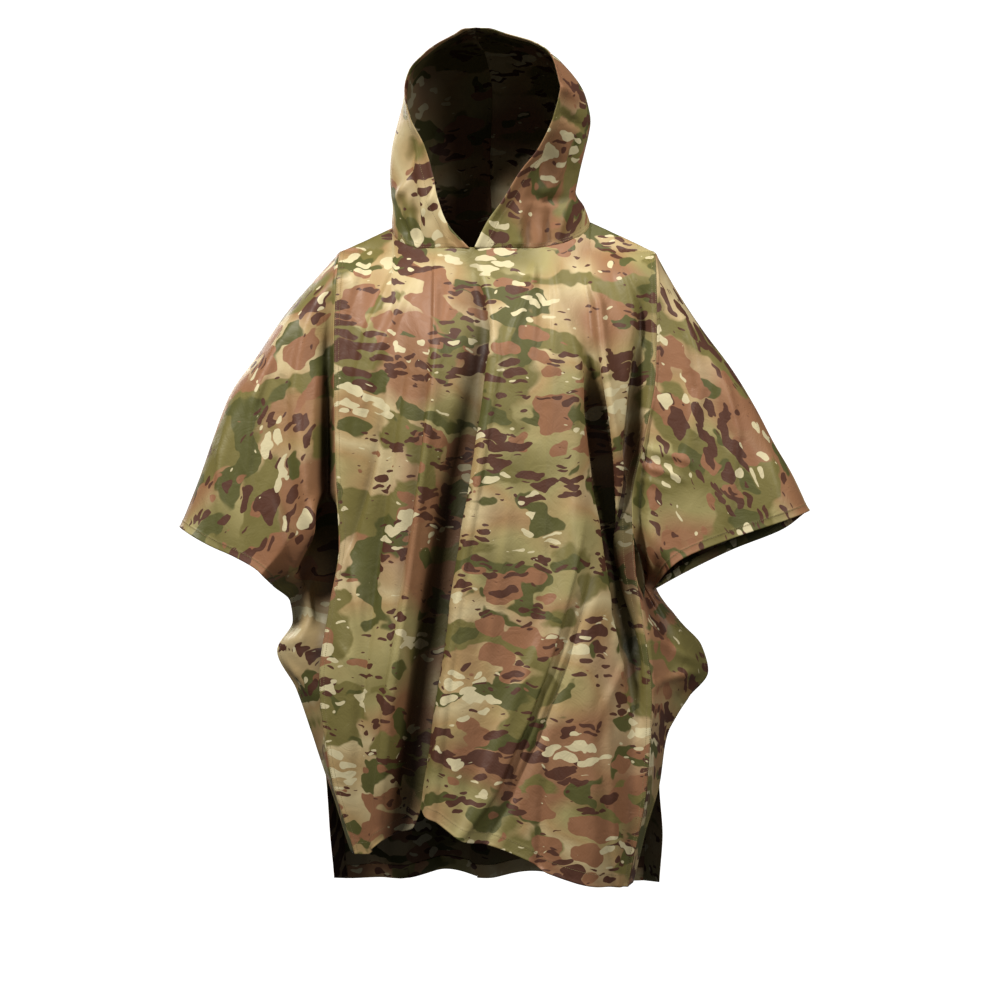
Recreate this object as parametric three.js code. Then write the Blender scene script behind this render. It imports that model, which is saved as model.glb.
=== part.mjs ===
// Rain poncho, worn: a straight front and back panel, a side gore with sleeve at each arm, and a big two-piece
// hood with a hemmed face opening. Millimetres, +Z up, the front faces -Y and +X is the viewer's right. The
// origin is the middle of the neck line, where the wearer's shoulders hold the garment.
//
// Every piece of cloth is a thin closed wall round a middle surface. The surfaces come from the garment's outline
// seen from the front, its depth from front to back, and a short table of folds.

import * as THREE from 'three';

// Driving dimensions
const CLOTH = 2.0; // wall of the shell cloth
const HEM_CLOTH = 1.6; // wall of a turned hem
const SEAM_GAP = 0.4; // between two pieces at a seam
const HOOD_SEAT = 1.9; // the hood's edge stands this far above the neck line
const LAY_GAP = 0.35; // between a turned hem and the panel it lies on
const HEM_WIDTH = 24; // bottom hems and sleeve hems
const NECK_SHARE = 0.62; // half of the panel's top edge that is neck, the rest is shoulder
const SIDE_Y = 10; // depth of the side seams, front to back
const VENT_FRONT = 44; // how far the open bottom of a side seam parts to the front
const VENT_BACK = 56; // and to the back
const ARM_ROUND = 60; // radius of the cloth over shoulder and arm
const SHOULDER_FALL = 75; // how far the cloth comes forward over that radius at the shoulder
const WRIST_FALL = 58; // and at the wrist
const CHEST_FALL = 30; // further forward fall down to the chest
const CHEST_SLOPE = 95; // drop over which the cloth below the neck line comes out to the chest
const CHEST_DROP = 200; // drop over which it falls that far forward
const CHEST_ROUND = 95; // radius of the cloth at the middle of a panel's top edge
const WRIST_ROUND = 48; // radius of the cloth over the wrist
const SHOULDER_Y = 5; // depth of the ridge at the shoulder point
const WRIST_Y = -42; // and at the wrist: the arm reaches a little forward
const BODY_LENGTH = 1110; // shoulder to bottom edge

const SHELL_COLOUR = '#8c7a55';
const HEM_COLOUR = '#7d6e4c';

// Smooth interpolation without overshoot through a table of rows: by is the column that is looked up.
function track(rows, by) {
  const at = rows.map((row) => row[by]);
  const up = at[at.length - 1] > at[0];
  const xs = up ? at : at.slice().reverse();
  const slopes = {};
  const columns = {};
  for (const name of Object.keys(rows[0])) {
    const ys = up ? rows.map((row) => row[name]) : rows.map((row) => row[name]).reverse();
    const step = xs.slice(1).map((x, i) => (ys[i + 1] - ys[i]) / (x - xs[i]));
    slopes[name] = xs.map((x, i) => {
      if (i === 0) return step[0];
      if (i === xs.length - 1) return step[i - 1];
      const [before, after] = [step[i - 1], step[i]];
      return before * after <= 0 ? 0 : (2 * before * after) / (before + after);
    });
    columns[name] = ys;
  }
  return (x, name) => {
    const ys = columns[name];
    const m = slopes[name];
    if (x <= xs[0]) return ys[0];
    if (x >= xs[xs.length - 1]) return ys[ys.length - 1];
    let i = 0;
    while (x > xs[i + 1]) i += 1;
    const h = xs[i + 1] - xs[i];
    const t = (x - xs[i]) / h;
    return (
      (1 + 2 * t) * (1 - t) ** 2 * ys[i] +
      t * (1 - t) ** 2 * h * m[i] +
      t * t * (3 - 2 * t) * ys[i + 1] +
      t * t * (t - 1) * h * m[i + 1]
    );
  };
}

const mix = (a, b, t) => a + (b - a) * t;
const clamp01 = (t) => Math.min(1, Math.max(0, t));
const ease = (t) => clamp01(t) ** 2 * (3 - 2 * clamp01(t));
const bell = (s) => Math.exp(-s * s);
const quarterRound = (q) => Math.sqrt(clamp01(q) * (2 - clamp01(q)));

// Ridge of the cloth over each arm, from the shoulder point to the wrist
const ARM_LEFT = track([
  { a: 0, x: -270, z: -4 },
  { a: 0.13, x: -316, z: -56 },
  { a: 0.25, x: -364, z: -112 },
  { a: 0.4, x: -419, z: -193 },
  { a: 0.54, x: -466, z: -261 },
  { a: 0.68, x: -495, z: -337 },
  { a: 0.82, x: -520, z: -410 },
  { a: 1, x: -554, z: -497 },
], 'a');
const ARM_RIGHT = track([
  { a: 0, x: 296, z: -5 },
  { a: 0.14, x: 333, z: -70 },
  { a: 0.3, x: 380, z: -142 },
  { a: 0.47, x: 436, z: -218 },
  { a: 0.61, x: 477, z: -286 },
  { a: 0.74, x: 508, z: -346 },
  { a: 0.87, x: 542, z: -405 },
  { a: 1, x: 571, z: -468 },
], 'a');

// Straight seams between panel and gore: x at a height
const SEAM_X = {
  left: {
    front: track([
      { z: -4, x: -270 }, { z: -167, x: -277 }, { z: -389, x: -274 }, { z: -517, x: -266 },
      { z: -640, x: -286 }, { z: -765, x: -303 }, { z: -918, x: -286 }, { z: -1078, x: -240 },
    ], 'z'),
    back: track([
      { z: -4, x: -270 }, { z: -200, x: -284 }, { z: -520, x: -288 }, { z: -765, x: -296 },
      { z: -960, x: -276 }, { z: -1150, x: -262 },
    ], 'z'),
  },
  right: {
    front: track([
      { z: -5, x: 296 }, { z: -133, x: 297 }, { z: -218, x: 295 }, { z: -337, x: 275 },
      { z: -450, x: 252 }, { z: -558, x: 257 }, { z: -648, x: 270 }, { z: -800, x: 288 },
      { z: -950, x: 280 }, { z: -1136, x: 245 },
    ], 'z'),
    back: track([
      { z: -5, x: 296 }, { z: -200, x: 304 }, { z: -520, x: 298 }, { z: -765, x: 304 },
      { z: -960, x: 288 }, { z: -1150, x: 282 },
    ], 'z'),
  },
};

// Edge of each sleeve's opening: down the front or back half from the wrist (v 0) to the underarm corner
const CUFF = {
  left: {
    front: track([
      { v: 0, x: -554, z: -497 }, { v: 0.16, x: -500, z: -528 }, { v: 0.3, x: -450, z: -551 },
      { v: 0.43, x: -409, z: -577 }, { v: 0.52, x: -391, z: -606 },
    ], 'v'),
    back: track([
      { v: 0, x: -554, z: -497 }, { v: 0.16, x: -506, z: -516 }, { v: 0.34, x: -450, z: -538 },
      { v: 0.45, x: -412, z: -570 }, { v: 0.52, x: -391, z: -606 },
    ], 'v'),
  },
  right: {
    front: track([
      { v: 0, x: 571, z: -468 }, { v: 0.1, x: 508, z: -490 }, { v: 0.24, x: 420, z: -520 },
      { v: 0.39, x: 331, z: -560 }, { v: 0.52, x: 292, z: -612 },
    ], 'v'),
    back: track([
      { v: 0, x: 571, z: -468 }, { v: 0.1, x: 535, z: -499 }, { v: 0.24, x: 434, z: -541 },
      { v: 0.39, x: 345, z: -584 }, { v: 0.52, x: 292, z: -612 },
    ], 'v'),
  },
};
const UNDERARM_V = 0.52; // share of the drop at which the sleeve opening ends and the side seam starts
const VENT_V = 0.86; // share of the drop at which the side seam ends

// Side seam and, below the vent, the free edge: x at a share of the drop
const SIDE = {
  left: {
    front: track([
      { v: 0.52, x: -391, z: -606 }, { v: 0.55, x: -361, z: -632 }, { v: 0.59, x: -356, z: -668 },
      { v: 0.645, x: -384, z: -722 }, { v: 0.71, x: -350, z: -790 }, { v: 0.78, x: -324, z: -864 },
      { v: 0.86, x: -297, z: -945 }, { v: 0.92, x: -276, z: -1004 }, { v: 1, x: -250, z: -1080 },
    ], 'v'),
    back: track([
      { v: 0.52, x: -391, z: -606 }, { v: 0.55, x: -361, z: -632 }, { v: 0.59, x: -356, z: -668 },
      { v: 0.645, x: -384, z: -722 }, { v: 0.71, x: -350, z: -790 }, { v: 0.78, x: -324, z: -864 },
      { v: 0.86, x: -297, z: -945 }, { v: 0.93, x: -290, z: -1060 }, { v: 1, x: -284, z: -1140 },
    ], 'v'),
  },
  right: {
    front: track([
      { v: 0.52, x: 292, z: -612 }, { v: 0.56, x: 345, z: -672 }, { v: 0.6, x: 382, z: -713 },
      { v: 0.64, x: 394, z: -758 }, { v: 0.7, x: 352, z: -812 }, { v: 0.77, x: 318, z: -878 },
      { v: 0.86, x: 306, z: -965 }, { v: 0.93, x: 280, z: -1050 }, { v: 1, x: 257, z: -1136 },
    ], 'v'),
    back: track([
      { v: 0.52, x: 292, z: -612 }, { v: 0.56, x: 345, z: -672 }, { v: 0.6, x: 382, z: -713 },
      { v: 0.64, x: 394, z: -758 }, { v: 0.7, x: 352, z: -812 }, { v: 0.77, x: 318, z: -878 },
      { v: 0.86, x: 306, z: -965 }, { v: 0.93, x: 313, z: -1060 }, { v: 1, x: 308, z: -1148 },
    ], 'v'),
  },
};

// Height of the bottom edge across the panel, c from the left seam (-1) to the right seam (1)
const HEM_Z = {
  front: track([
    { c: -1, z: -1078 }, { c: -0.9, z: -1076 }, { c: -0.8, z: -1050 }, { c: -0.63, z: -1034 },
    { c: -0.57, z: -984 }, { c: -0.4, z: -1012 }, { c: -0.2, z: -1046 }, { c: -0.08, z: -1050 },
    { c: 0.28, z: -1084 }, { c: 0.4, z: -1104 }, { c: 0.75, z: -1130 }, { c: 1, z: -1136 },
  ], 'c'),
  back: track([
    { c: -1, z: -1146 }, { c: -0.6, z: -1150 }, { c: -0.35, z: -1140 }, { c: 0, z: -1152 },
    { c: 0.3, z: -1142 }, { c: 0.65, z: -1156 }, { c: 1, z: -1150 },
  ], 'c'),
};

// Long folds of the panels: where the fold's line runs (x) and how far it stands out of the cloth (out, negative
// for a valley) at six heights, the fold's half width, and lean, which makes one flank steeper than the other.
const FOLD_LEVELS = [0, -200, -400, -600, -800, -1060];
const FOLDS = {
  front: [
    { name: 'centre valley', x: [-31, -16, -52, -81, -111, -147], out: [-2, -8, -14, -20, -24, -26], width: 15, lean: 0.5 },
    { name: 'centre pleat', x: [-4, 20, -14, -44, -72, -102], out: [1, 8, 14, 20, 26, 32], width: 36, lean: -0.35 },
    { name: 'left pleat', x: [-101, -103, -124, -156, -180, -204], out: [5, 9, 13, 17, 19, 20], width: 26, lean: 0.3 },
    { name: 'left valley', x: [-140, -152, -178, -206, -226, -236], out: [0, -4, -8, -11, -12, -10], width: 22, lean: 0 },
    { name: 'left edge roll', x: [-235, -244, -246, -254, -268, -250], out: [0, 5, 9, 10, 9, 6], width: 24, lean: 0 },
    { name: 'crossing crease', x: [150, 162, 160, 126, 48, -50], out: [0, 2, 6, 13, 15, 12], width: 30, lean: -0.5 },
    { name: 'crossing valley', x: [188, 196, 190, 154, 78, -18], out: [0, 0, -3, -9, -13, -12], width: 20, lean: 0 },
    { name: 'deep right valley', x: [166, 178, 196, 229, 256, 244], out: [-3, -15, -34, -36, -22, -8], width: 17, lean: 0.25 },
    { name: 'right strip pleat', x: [186, 206, 226, 249, 282, 290], out: [4, 12, 20, 20, 6, 0], width: 17, lean: 0 },
    { name: 'right hem pleat', x: [120, 128, 136, 160, 176, 186], out: [0, 0, 3, 9, 15, 21], width: 30, lean: 0.2 },
    { name: 'short chest fold', x: [106, 109, 112, 112, 112, 112], out: [4, 5, 0, 0, 0, 0], width: 13, lean: 0 },
  ],
  back: [
    { name: 'left blade fold', x: [-150, -168, -186, -196, -204, -210], out: [2, 10, 16, 20, 22, 24], width: 34, lean: 0.2 },
    { name: 'left back valley', x: [-96, -106, -120, -132, -140, -146], out: [-1, -8, -15, -20, -22, -24], width: 26, lean: 0 },
    { name: 'middle left fold', x: [-40, -44, -54, -66, -76, -84], out: [3, 9, 15, 20, 24, 26], width: 32, lean: -0.2 },
    { name: 'middle valley', x: [14, 12, 4, -2, -8, -12], out: [-2, -7, -12, -18, -22, -24], width: 24, lean: 0.2 },
    { name: 'middle right fold', x: [62, 70, 68, 62, 58, 56], out: [2, 8, 14, 18, 22, 26], width: 34, lean: 0.3 },
    { name: 'right back valley', x: [116, 134, 142, 140, 136, 134], out: [-1, -7, -13, -16, -20, -22], width: 25, lean: 0 },
    { name: 'right blade fold', x: [164, 188, 208, 214, 216, 218], out: [2, 10, 17, 20, 22, 24], width: 36, lean: -0.2 },
  ],
};
for (const fold of [...FOLDS.front, ...FOLDS.back]) {
  fold.at = track(FOLD_LEVELS.map((z, i) => ({ z, x: fold.x[i], out: fold.out[i] })), 'z');
}

// How far the folds bring a panel out at a place seen from the front
function foldsOut(face, x, z) {
  let out = 0;
  for (const fold of FOLDS[face]) {
    const s = (x - fold.at(z, 'x')) / fold.width;
    const flank = s > 0 ? 1 + fold.lean : 1 - fold.lean;
    out += fold.at(z, 'out') * bell(s * flank);
  }
  return out;
}

// Sections of the hood from the neck up: height, outer width and face edge of the left and right half, depth of
// the face edges, depth of the widest place and depth of the back
const HOOD = track([
  { w: 0, z: 0, outLeft: -176, rimLeft: -35, rimRight: -29, outRight: 180, rimLeftY: -101, rimRightY: -103, wideY: 15, backY: 118 },
  { w: 0.1, z: 47, outLeft: -173, rimLeft: -76, rimRight: -6, outRight: 169, rimLeftY: -91, rimRightY: -101, wideY: 12, backY: 124 },
  { w: 0.19, z: 88, outLeft: -176, rimLeft: -91, rimRight: 23, outRight: 151, rimLeftY: -84, rimRightY: -100, wideY: 10, backY: 131 },
  { w: 0.28, z: 130, outLeft: -178, rimLeft: -100, rimRight: 48, outRight: 156, rimLeftY: -80, rimRightY: -103, wideY: 8, backY: 145 },
  { w: 0.39, z: 180, outLeft: -175, rimLeft: -114, rimRight: 86, outRight: 169, rimLeftY: -82, rimRightY: -113, wideY: 6, backY: 160 },
  { w: 0.5, z: 234, outLeft: -163, rimLeft: -140, rimRight: 111, outRight: 180, rimLeftY: -90, rimRightY: -127, wideY: 5, backY: 171 },
  { w: 0.6, z: 283, outLeft: -152, rimLeft: -149, rimRight: 121, outRight: 169, rimLeftY: -99, rimRightY: -141, wideY: 0, backY: 168 },
  { w: 0.69, z: 320, outLeft: -143, rimLeft: -141, rimRight: 115, outRight: 147, rimLeftY: -107, rimRightY: -148, wideY: -10, backY: 155 },
  { w: 0.78, z: 350, outLeft: -120, rimLeft: -118, rimRight: 104, outRight: 118, rimLeftY: -115, rimRightY: -151, wideY: -22, backY: 132 },
  { w: 0.86, z: 372, outLeft: -91, rimLeft: -90, rimRight: 74, outRight: 82, rimLeftY: -123, rimRightY: -151, wideY: -34, backY: 106 },
  { w: 0.93, z: 388, outLeft: -60, rimLeft: -59, rimRight: 22, outRight: 34, rimLeftY: -132, rimRightY: -146, wideY: -44, backY: 76 },
  { w: 0.97, z: 397, outLeft: -44, rimLeft: -43.5, rimRight: -5, outRight: 0, rimLeftY: -136, rimRightY: -142, wideY: -50, backY: 58 },
  { w: 1, z: 400, outLeft: -25, rimLeft: -25, rimRight: -25, outRight: -25, rimLeftY: -139, rimRightY: -139, wideY: -54, backY: 44 },
], 'w');
const HOOD_MIDDLE = track([{ z: 0, x: 4 }, { z: 150, x: 0 }, { z: 300, x: 4 }, { z: 372, x: -8 }, { z: 400, x: -25 }], 'z');
const NECK_SIDE_Z = { left: 40, right: 50 };
const NECK_BACK_Z = 60;
const NECK_LEVEL = { left: 0.62, right: 0.7 }; // share of the front neck line after which it runs level
const NECK_CURVE = 1.3; // how softly it leaves the level
const HOOD_SETTLE = 200; // height at which the neck line's rise has died out in the hood's sections
const SETTLE_CURVE = 1.5; // and how softly it does
const HOOD_BACK = { x: 0.85, y: 0.95 }; // fullness of the hood's back, 1 for an ellipse

// A point of the hood: h from the face edge (0) over the widest place (1) to the middle of the back (2)
function hoodPoint(side, h, w) {
  const cap = side === 'left' ? 'Left' : 'Right';
  const level = HOOD(w, 'z');
  const out = HOOD(w, `out${cap}`);
  const wide = HOOD(w, 'wideY');
  const sideZ = NECK_SIDE_Z[side];
  let x;
  let y;
  let rise;
  if (h <= 1) {
    const q = 0.5 * (1 - h + Math.sqrt(1 - h));
    x = out + (HOOD(w, `rim${cap}`) - out) * q * q;
    y = wide + (HOOD(w, `rim${cap}Y`) - wide) * q;
    rise = sideZ * Math.max(0, 1 - q / NECK_LEVEL[side]) ** NECK_CURVE;
  } else {
    const turn = ((h - 1) * Math.PI) / 2;
    const middle = HOOD_MIDDLE(level, 'x');
    x = middle + (out - middle) * Math.cos(turn) ** HOOD_BACK.x;
    y = wide + (HOOD(w, 'backY') - wide) * Math.sin(turn) ** HOOD_BACK.y;
    rise = mix(sideZ, NECK_BACK_Z, Math.sin(turn));
  }
  const left = Math.max(0, 1 - level / HOOD_SETTLE) ** SETTLE_CURVE;
  return new THREE.Vector3(x, y, level + rise * left);
}

// A point of a panel's top edge, c from -1 to 1: shoulder, neck line, shoulder
function topEdge(face, c) {
  const side = c < 0 ? 'left' : 'right';
  const share = Math.abs(c) / NECK_SHARE;
  if (share <= 1) {
    return hoodPoint(side, face === 'front' ? share : 2 - share, 0);
  }
  const neck = hoodPoint(side, 1, 0);
  const t = (Math.abs(c) - NECK_SHARE) / (1 - NECK_SHARE);
  const arm = side === 'left' ? ARM_LEFT : ARM_RIGHT;
  return new THREE.Vector3(mix(neck.x, arm(0, 'x'), t), mix(neck.y, ridgeY(0), t), mix(neck.z, arm(0, 'z'), t));
}

// Depth of the ridge over the arm
function ridgeY(a) {
  return mix(SHOULDER_Y, WRIST_Y, a);
}

// How far the cloth has come forward of the ridge, or back of it, at a distance down from it
function fall(a, drop) {
  const down = Math.max(0, drop);
  const over = mix(SHOULDER_FALL, WRIST_FALL, a) * quarterRound(down / mix(ARM_ROUND, WRIST_ROUND, a));
  return over + CHEST_FALL * (1 - a) * (1 - Math.exp(-down / CHEST_DROP));
}

const PANEL_DEPTH = {
  front: track([{ z: 60, y: -100 }, { z: -60, y: -146 }, { z: -200, y: -170 }, { z: -600, y: -176 }, { z: -1100, y: -182 }], 'z'),
  back: track([{ z: 60, y: 118 }, { z: -60, y: 150 }, { z: -200, y: 168 }, { z: -600, y: 172 }, { z: -1150, y: 184 }], 'z'),
};

const HEM_CURVE_V = 0.72; // share of the drop from which the bottom edge's own line shows
const NECK_SPREAD_V = 0.3; // share of the drop over which the neck line's spacing evens out
const FOLD_START = 60; // drop over which the folds come out of the shoulder
const SEAM_HOLD = 6; // how closely the cloth beside a seam keeps the seam's line
const PANEL_FULLNESS = 2.4; // how far the panel stays full towards its seams

// A point of the front or back panel: c from the left seam (-1) to the right seam (1), v from the top (0) to the
// bottom edge (1)
function panelPoint(face, c, v) {
  const top = topEdge(face, c);
  const toHem = ease((v - HEM_CURVE_V) / (1 - HEM_CURVE_V));
  const evenHem = mix(HEM_Z[face](-1, 'z'), HEM_Z[face](1, 'z'), (c + 1) / 2);
  const seamZ = mix(top.z, evenHem, v);
  const z = seamZ + (HEM_Z[face](c, 'z') - evenHem) * toHem;
  const left = SEAM_X.left[face](seamZ, 'x');
  const right = SEAM_X.right[face](seamZ, 'x');
  const across = mix(left, right, (c + 1) / 2);
  const edge = Math.abs(c) ** SEAM_HOLD;
  const x = mix(top.x, across, mix(ease(v / NECK_SPREAD_V), 1, edge));
  const out = face === 'front' ? -1 : 1;
  const down = top.z - z;
  const seamY = ridgeY(0) + out * fall(0, ARM_LEFT(0, 'z') - z);
  const middleY = PANEL_DEPTH[face](z, 'y');
  const full = mix(seamY, middleY, 1 - Math.abs(c) ** PANEL_FULLNESS);
  const shoulder = quarterRound(down / mix(CHEST_ROUND, ARM_ROUND, Math.abs(c)));
  const chest = 1 - Math.exp(-down / CHEST_SLOPE);
  const fallen = mix(chest, shoulder, ease((Math.abs(c) - NECK_SHARE) / (1 - NECK_SHARE)));
  const base = mix(mix(top.y, full, fallen), seamY, edge);
  const fade = ease(down / FOLD_START) * (1 - edge);
  return new THREE.Vector3(x, base + out * foldsOut(face, x, z) * fade, z);
}

// Line on the gore's front below which the sleeve's cloth turns under, as a share of the drop
const CREASE_V = { left: { seam: 0.37, cuff: 0.44 }, right: { seam: 0.4, cuff: 0.4 } };
const BACK_CREASE_V = 0.38;
// Cloth drawn in beside the seam under the arm: how far, its middle and how wide it spreads
const RECESS = { left: { front: 46, back: 18 }, right: { front: 40, back: 18 } };
const RECESS_AT = { a: 0.3, v: 0.5 };
const RECESS_SPREAD = { a: 0.24, v: 0.12 };
const SLEEVE_BLEND = 0.25; // share of a gore's width over which its depth leaves the seam's
const RECESS_BLEND = 0.2; // and over which the recess starts

// A point of a gore, seen from the front: a from the seam (0) to the outer edge (1), v from the arm's ridge (0) to
// the bottom edge (1)
function gorePlane(side, face, a, v) {
  const arm = side === 'left' ? ARM_LEFT : ARM_RIGHT;
  const seam = panelPoint(face, side === 'left' ? -1 : 1, v);
  if (v >= UNDERARM_V) {
    const edge = SIDE[side][face];
    return { x: mix(seam.x, edge(v, 'x'), a), z: mix(seam.z, edge(v, 'z'), a), seam };
  }
  const w = v / UNDERARM_V;
  const cuff = CUFF[side][face];
  const low = panelPoint(face, side === 'left' ? -1 : 1, UNDERARM_V);
  const place = {};
  for (const axis of ['x', 'z']) {
    const corners = [arm(0, axis), arm(1, axis), low[axis], cuff(UNDERARM_V, axis)];
    place[axis] =
      (1 - w) * arm(a, axis) + w * mix(corners[2], corners[3], a) +
      (1 - a) * seam[axis] + a * cuff(v, axis) -
      (1 - w) * mix(corners[0], corners[1], a) - w * mix(corners[2], corners[3], a);
  }
  return { ...place, seam };
}

function gorePoint(side, a, r) {
  const face = r >= 0 ? 'front' : 'back';
  const out = r >= 0 ? -1 : 1;
  const v = Math.abs(r);
  const { x, z, seam } = gorePlane(side, face, a, v);
  const arm = side === 'left' ? ARM_LEFT : ARM_RIGHT;
  const down = Math.hypot(arm(a, 'x') - x, arm(a, 'z') - z);
  const sleeve = mix(seam.y, ridgeY(a) + out * fall(a, down), ease(a / SLEEVE_BLEND));
  const vent = ease((v - VENT_V) / (1 - VENT_V)) * (r >= 0 ? VENT_FRONT : VENT_BACK);
  const edgeY = SIDE_Y + out * (CLOTH / 2 + SEAM_GAP / 2 + vent);
  const spread = bell((a - RECESS_AT.a) / RECESS_SPREAD.a) * bell((v - RECESS_AT.v) / RECESS_SPREAD.v);
  const inward = RECESS[side][face] * ease(a / RECESS_BLEND) * spread;
  const under = mix(seam.y, edgeY, a) - out * inward;
  const crease = r >= 0 ? mix(CREASE_V[side].seam, CREASE_V[side].cuff, a) : BACK_CREASE_V;
  const turned = ease((v - crease) / (UNDERARM_V - crease));
  return new THREE.Vector3(x, mix(sleeve, under, turned), z);
}

// A closed wall on a grid of points: point(c, r) at each column and row, thick all over, moved out of the surface
// by lift. seams names the sides that meet another piece and are trimmed by half a seam gap.
function sheetWall(point, columns, rows, { thick = CLOTH, lift = 0, seams = [], flip = false } = {}) {
  const tiny = 1e-4;
  const towards = (from, to) => to.sub(from).normalize();
  const outer = [];
  const inner = [];
  const [firstC, lastC] = [columns[0], columns[columns.length - 1]];
  const [firstR, lastR] = [rows[0], rows[rows.length - 1]];
  for (const r of rows) {
    for (const c of columns) {
      const place = point(c, r);
      const dc = towards(point(c - tiny, r), place.clone()).add(towards(place, point(c + tiny, r)));
      const dr = towards(point(c, r - tiny), place.clone()).add(towards(place, point(c, r + tiny)));
      const normal = new THREE.Vector3().crossVectors(dc, dr).normalize();
      if (flip) normal.negate();
      const acrossC = new THREE.Vector3().crossVectors(normal, dr).normalize();
      if (acrossC.dot(dc) < 0) acrossC.negate();
      const acrossR = new THREE.Vector3().crossVectors(normal, dc).normalize();
      if (acrossR.dot(dr) < 0) acrossR.negate();
      if (c === firstC && seams.includes('firstColumn')) place.addScaledVector(acrossC, SEAM_GAP / 2);
      if (c === lastC && seams.includes('lastColumn')) place.addScaledVector(acrossC, -SEAM_GAP / 2);
      if (r === firstR && seams.includes('firstRow')) place.addScaledVector(acrossR, SEAM_GAP / 2);
      if (r === lastR && seams.includes('lastRow')) place.addScaledVector(acrossR, -SEAM_GAP / 2);
      outer.push(place.clone().addScaledVector(normal, lift + thick / 2));
      inner.push(place.clone().addScaledVector(normal, lift - thick / 2));
    }
  }
  const across = columns.length;
  const count = outer.length;
  const index = [];
  const corners = [...outer, ...inner];
  const quad = (p, q, s, t) => {
    const shortWay = corners[p].distanceTo(corners[s]) <= corners[q].distanceTo(corners[t]);
    index.push(...(shortWay ? [p, q, s, p, s, t] : [p, q, t, q, s, t]));
  };
  for (let j = 0; j + 1 < rows.length; j += 1) {
    for (let i = 0; i + 1 < across; i += 1) {
      const k = j * across + i;
      quad(k, k + 1, k + across + 1, k + across);
      quad(count + k, count + k + across, count + k + across + 1, count + k + 1);
    }
  }
  // Both walls of a seam split their end faces the same way, so that the gap between them stays even.
  const endFace = (path, key) => {
    for (let i = 0; i + 1 < path.length; i += 1) {
      const [p, q, s, t] = [path[i], count + path[i], count + path[i + 1], path[i + 1]];
      index.push(...(key(i) <= key(i + 1) ? [p, q, s, p, s, t] : [p, q, t, q, s, t]));
    }
  };
  const lastRowAt = rows.length - 1;
  const depthOf = (j) => Math.abs(rows[j]);
  endFace(columns.map((_, i) => i), (i) => i);
  endFace(rows.map((_, j) => j * across + across - 1), depthOf);
  endFace(columns.map((_, i) => lastRowAt * across + across - 1 - i), (i) => -i);
  endFace(rows.map((_, j) => (lastRowAt - j) * across), (j) => depthOf(lastRowAt - j));
  if (flip) {
    for (let i = 0; i < index.length; i += 3) [index[i + 1], index[i + 2]] = [index[i + 2], index[i + 1]];
  }
  const geometry = new THREE.BufferGeometry();
  geometry.setAttribute('position', new THREE.Float32BufferAttribute(corners.flatMap((p) => p.toArray()), 3));
  geometry.setIndex(index);
  geometry.computeVertexNormals();
  return geometry;
}

const steps = (from, to, count) => Array.from({ length: count + 1 }, (_, i) => mix(from, to, i / count));

// Rows of the panels and gores: close together at the ridge, where the cloth turns over the shoulder, with one
// at the underarm, one where the side seam ends and one at the top of the turned hem
const HEM_V = 1 - HEM_WIDTH / BODY_LENGTH;
const SLEEVE_ROWS = 13;
const SIDE_ROWS = 6;
const VENT_ROWS = 3;
const RIDGE_CROWDING = 1.6;
const BODY_ROWS = [
  ...steps(0, 1, SLEEVE_ROWS).map((t) => UNDERARM_V * t ** RIDGE_CROWDING),
  ...steps(UNDERARM_V, VENT_V, SIDE_ROWS).slice(1),
  ...steps(VENT_V, HEM_V, VENT_ROWS).slice(1),
  1,
];
const FRONT_NECK_STEPS = 13; // on each half of the front neck line, for the panel and the hood alike
const BACK_NECK_STEPS = 9;
const SHOULDER_STEPS = { frontLeft: 6, frontRight: 9, backLeft: 5, backRight: 5 };
const panelColumns = (neckSteps, leftSteps, rightSteps) => [
  ...steps(-1, -NECK_SHARE, leftSteps).slice(0, -1),
  ...steps(-NECK_SHARE, NECK_SHARE, 2 * neckSteps),
  ...steps(NECK_SHARE, 1, rightSteps).slice(1),
];
const PANEL_COLUMNS = {
  front: panelColumns(FRONT_NECK_STEPS, SHOULDER_STEPS.frontLeft, SHOULDER_STEPS.frontRight),
  back: panelColumns(BACK_NECK_STEPS, SHOULDER_STEPS.backLeft, SHOULDER_STEPS.backRight),
};
const GORE_STEPS = 8; // the last one is as wide as the sleeve's hem
const HOOD_COLUMNS = [...steps(0, 1, FRONT_NECK_STEPS), ...steps(1, 2, BACK_NECK_STEPS).slice(1)];
const RIM_STEPS = 3; // the rim is as wide as these steps from the face edge
const RIM_COLUMNS = HOOD_COLUMNS.slice(0, RIM_STEPS + 1);
const HOOD_STEPS_UP = 14;
const HOOD_ROWS = steps(0, 1, HOOD_STEPS_UP);

function shellCloth(colour = SHELL_COLOUR) {
  return new THREE.MeshStandardMaterial({ color: colour, roughness: 0.55, metalness: 0 });
}

const poncho = new THREE.Group();

function addPiece(name, geometry, colour) {
  const mesh = new THREE.Mesh(geometry, shellCloth(colour));
  mesh.name = name;
  poncho.add(mesh);
}

const sideOf = (c) => (c < 0 ? 'left' : 'right');
const other = { front: 'back', back: 'front', left: 'right', right: 'left' };

// Each surface is carried on past its seams into its neighbour, so that both walls share the seam's direction.
function panelAndOn(face, c, v) {
  const drop = Math.min(1, Math.abs(v));
  const here = v < 0 && Math.abs(c) >= NECK_SHARE ? other[face] : face;
  if (Math.abs(c) > 1) return gorePoint(sideOf(c), Math.abs(c) - 1, here === 'front' ? drop : -drop);
  return panelPoint(here, c, v < 0 && here === face ? 0 : drop);
}

function goreAndOn(side, a, r) {
  const drop = Math.max(-1, Math.min(1, r));
  if (a < 0) return panelPoint(r >= 0 ? 'front' : 'back', side === 'left' ? -1 - a : 1 + a, Math.abs(drop));
  return gorePoint(side, Math.min(1, a), drop);
}

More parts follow.
